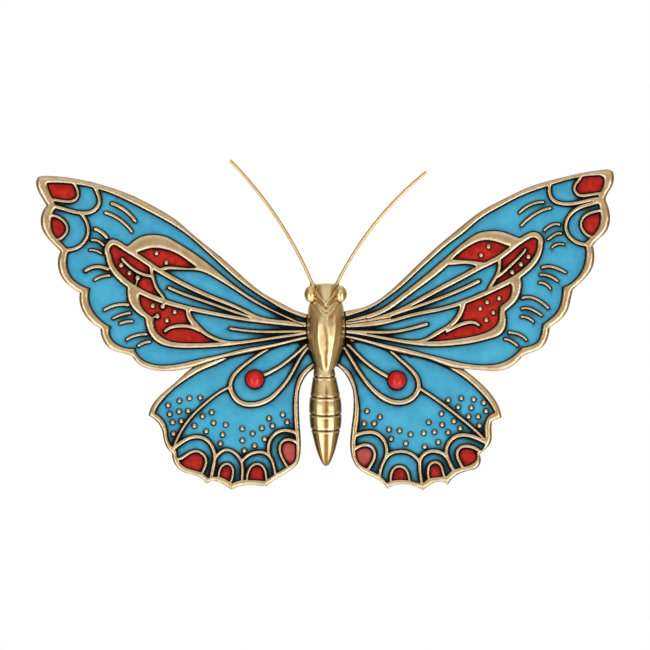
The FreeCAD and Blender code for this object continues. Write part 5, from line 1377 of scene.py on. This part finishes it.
    # every screw was driven home at its own angle
    driven = addNode(tree, "FunctionNodeRandomValue", {"data_type": "FLOAT"},
                     {2: 0.0, 3: math.pi, "Seed": source["Seed"]})[1]
    turned = addNode(tree, "ShaderNodeCombineXYZ", inputs={"X": -math.pi / 2, "Y": driven})[0]
    return endTree(tree, source, sized, {"Rotation": turned})


screws = screwTree()
screwZinc = zincSteel("zincPlatedScrew", "#AEB0B3", 0.28)
for name in ("wing_screws", "body_screws", "hanger_screws"):
    rounded, length, places = screw[name]
    seat = screw["strapBack"] if rounded else screw["plateBack"]
    seats = np.array([(x, seat, z) for x, z in places])
    piece = meshObject(name.replace("screws", "screw_set"), seats, [])
    bakeTree(piece, screws, {"Length": length, "Round Head": rounded, "Material": screwZinc})
    shadeByAngle(piece, 35)
    place(piece, "screw_steel", name)
    print(name, "made:", len(piece.data.polygons), "faces")


# CAD nodes that stay as they are

zinc = zincSteel("zincPlatedSteelPlate", "#9EA1A4", 0.34)
carried = {"spine_plate": zinc, "hanger_plate": zinc, "wall_bumper": mouldedRubber()}
for nodeName, material in carried.items():
    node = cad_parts[nodeName]
    node.data.materials.clear()
    node.data.materials.append(material)
print("carried nodes painted")


# Floor, light and camera

studio = {
    "distance": 6.0,          # m, far enough that the wings keep their drawn outline
    "width": 0.3259,          # m across the picture
    "centre": (-0.0005, 0.0010),
    "sensor": 36.0,           # mm
    "plainWorld": 0.62,
    # the room seen in the metal: white sweep behind and below, greyer in front and above,
    # dim at the sides
    "upward": [(0.0, "#F5F3EE"), (0.34, "#EDE7DD"), (0.46, "#BDAD90"), (0.56, "#C5B69A"),
               (0.67, "#F9F5EE"), (0.82, "#F1EEE8"), (1.0, "#CBC7C1")],
    "sideways": [(0.0, "#A18D66"), (0.16, "#A5916C"), (0.34, "#FFFFFF"), (0.68, "#FFFFFF"),
                 (0.84, "#BBA67E"), (1.0, "#B9A580")],
    "whiteBehind": (0.62, 0.92),
    # m: place, width and height, then W
    "softboxes": {"right": ((0.62, -0.98, -0.52), (0.46, 1.20), 3.9),
                  "left": ((-0.66, -0.98, -0.42), (0.42, 1.20), 3.2),
                  "low": ((0.12, -0.92, -0.74), (1.30, 0.34), 0.75)},
    "floorHeight": -1.25, "floorRadius": 1.4, "floorCorners": 48,
    "floorWhite": 0.47,       # what the lit paper lacks to look white
    "paper": "#F4F4F2",
}
white = (1.0, 1.0, 1.0, 1.0)


def seenBy(tree, titles):
    # 1 for the kinds of ray that see a bright background
    rays = addNode(tree, "ShaderNodeLightPath")
    seen = rays[titles[0]]
    for title in titles[1:]:
        seen = addNode(tree, "ShaderNodeMath", {"operation": "MAXIMUM"},
                       {0: seen, 1: rays[title]})[0]
    return seen


def studioWorld():
    world = bpy.data.worlds.new("paleStudio")
    world.use_nodes = True
    tree = world.node_tree
    tree.nodes.clear()
    direction = addNode(tree, "ShaderNodeSeparateXYZ", inputs={
        "Vector": addNode(tree, "ShaderNodeTexCoord")["Generated"]})
    tints = []
    for axis, title in (("Z", "upward"), ("X", "sideways")):
        share = addNode(tree, "ShaderNodeMapRange", inputs={
            "Value": direction[axis], "From Min": -1.0, "From Max": 1.0})["Result"]
        tints.append(addNode(tree, "ShaderNodeValToRGB", {"stops": studio[title]},
                             {"Fac": share})["Color"])
    room = addNode(tree, "ShaderNodeMix", multiply, {"Factor": 1.0, 6: tints[0], 7: tints[1]})[2]
    start, full = studio["whiteBehind"]
    behind = addNode(tree, "ShaderNodeMapRange", inputs={
        "Value": direction["Y"], "From Min": start, "From Max": full})["Result"]
    room = addNode(tree, "ShaderNodeMix", mixColours, {"Factor": behind, 6: room, 7: white})[2]
    plain, mirrored, seen = (
        addNode(tree, "ShaderNodeBackground", inputs={"Color": colour, "Strength": strength})[0]
        for colour, strength in ((white, studio["plainWorld"]), (room, 1.0), (white, 1.0)))
    glossy, camera = (seenBy(tree, titles) for titles in (
        ["Is Glossy Ray", "Is Transmission Ray"], ["Is Camera Ray"]))
    first = addNode(tree, "ShaderNodeMixShader", inputs={"Fac": glossy, 1: plain, 2: mirrored})[0]
    second = addNode(tree, "ShaderNodeMixShader", inputs={"Fac": camera, 1: first, 2: seen})[0]
    addNode(tree, "ShaderNodeOutputWorld", inputs={"Surface": second})
    bpy.context.scene.world = world


def softbox(name, location, size, power):
    data = bpy.data.lights.new(name, "AREA")
    data.shape = "RECTANGLE"
    data.size, data.size_y = size
    data.energy = power
    lamp = bpy.data.objects.new(name, data)
    lamp.location = location
    lamp.rotation_euler = (-Vector(location)).to_track_quat("-Z", "Y").to_euler()
    bpy.context.scene.collection.objects.link(lamp)


def paleFloor():
    corners, radius = studio["floorCorners"], studio["floorRadius"]
    turn = 2 * math.pi * np.arange(corners) / corners
    points = np.c_[radius * np.cos(turn), radius * np.sin(turn),
                   np.full(corners, studio["floorHeight"])] / mm
    material, tree, _ = newMaterial("paleStudioPaper", {})
    seen = seenBy(tree, ["Is Camera Ray", "Is Glossy Ray", "Is Transmission Ray"])
    strength = addNode(tree, "ShaderNodeMath", {"operation": "MULTIPLY"},
                       {0: seen, 1: studio["floorWhite"]})[0]
    paper = addNode(tree, "ShaderNodeBsdfDiffuse", inputs={"Color": linear(studio["paper"])})[0]
    glow = addNode(tree, "ShaderNodeEmission", inputs={"Color": white, "Strength": strength})[0]
    shader = addNode(tree, "ShaderNodeAddShader", inputs={0: paper, 1: glow})[0]
    addNode(tree, "ShaderNodeOutputMaterial", inputs={"Surface": shader})
    meshObject("studioFloor", points, [list(range(corners))], material=material,
                        smooth=False)


studioWorld()
for title, (location, size, power) in studio["softboxes"].items():
    softbox(title + "Softbox", location, size, power)
paleFloor()
lens = bpy.data.cameras.new("camera")
lens.sensor_width = studio["sensor"]
lens.lens = studio["sensor"] * studio["distance"] / studio["width"]
lens.clip_start, lens.clip_end = 0.05, 50.0
camera = bpy.data.objects.new("camera", lens)
camera.location = (studio["centre"][0], -studio["distance"], studio["centre"][1])
camera.rotation_euler = (math.pi / 2, 0, 0)
bpy.context.scene.collection.objects.link(camera)
bpy.context.scene.camera = camera
bpy.context.scene.view_settings.view_transform = "Standard"

print("scene made")
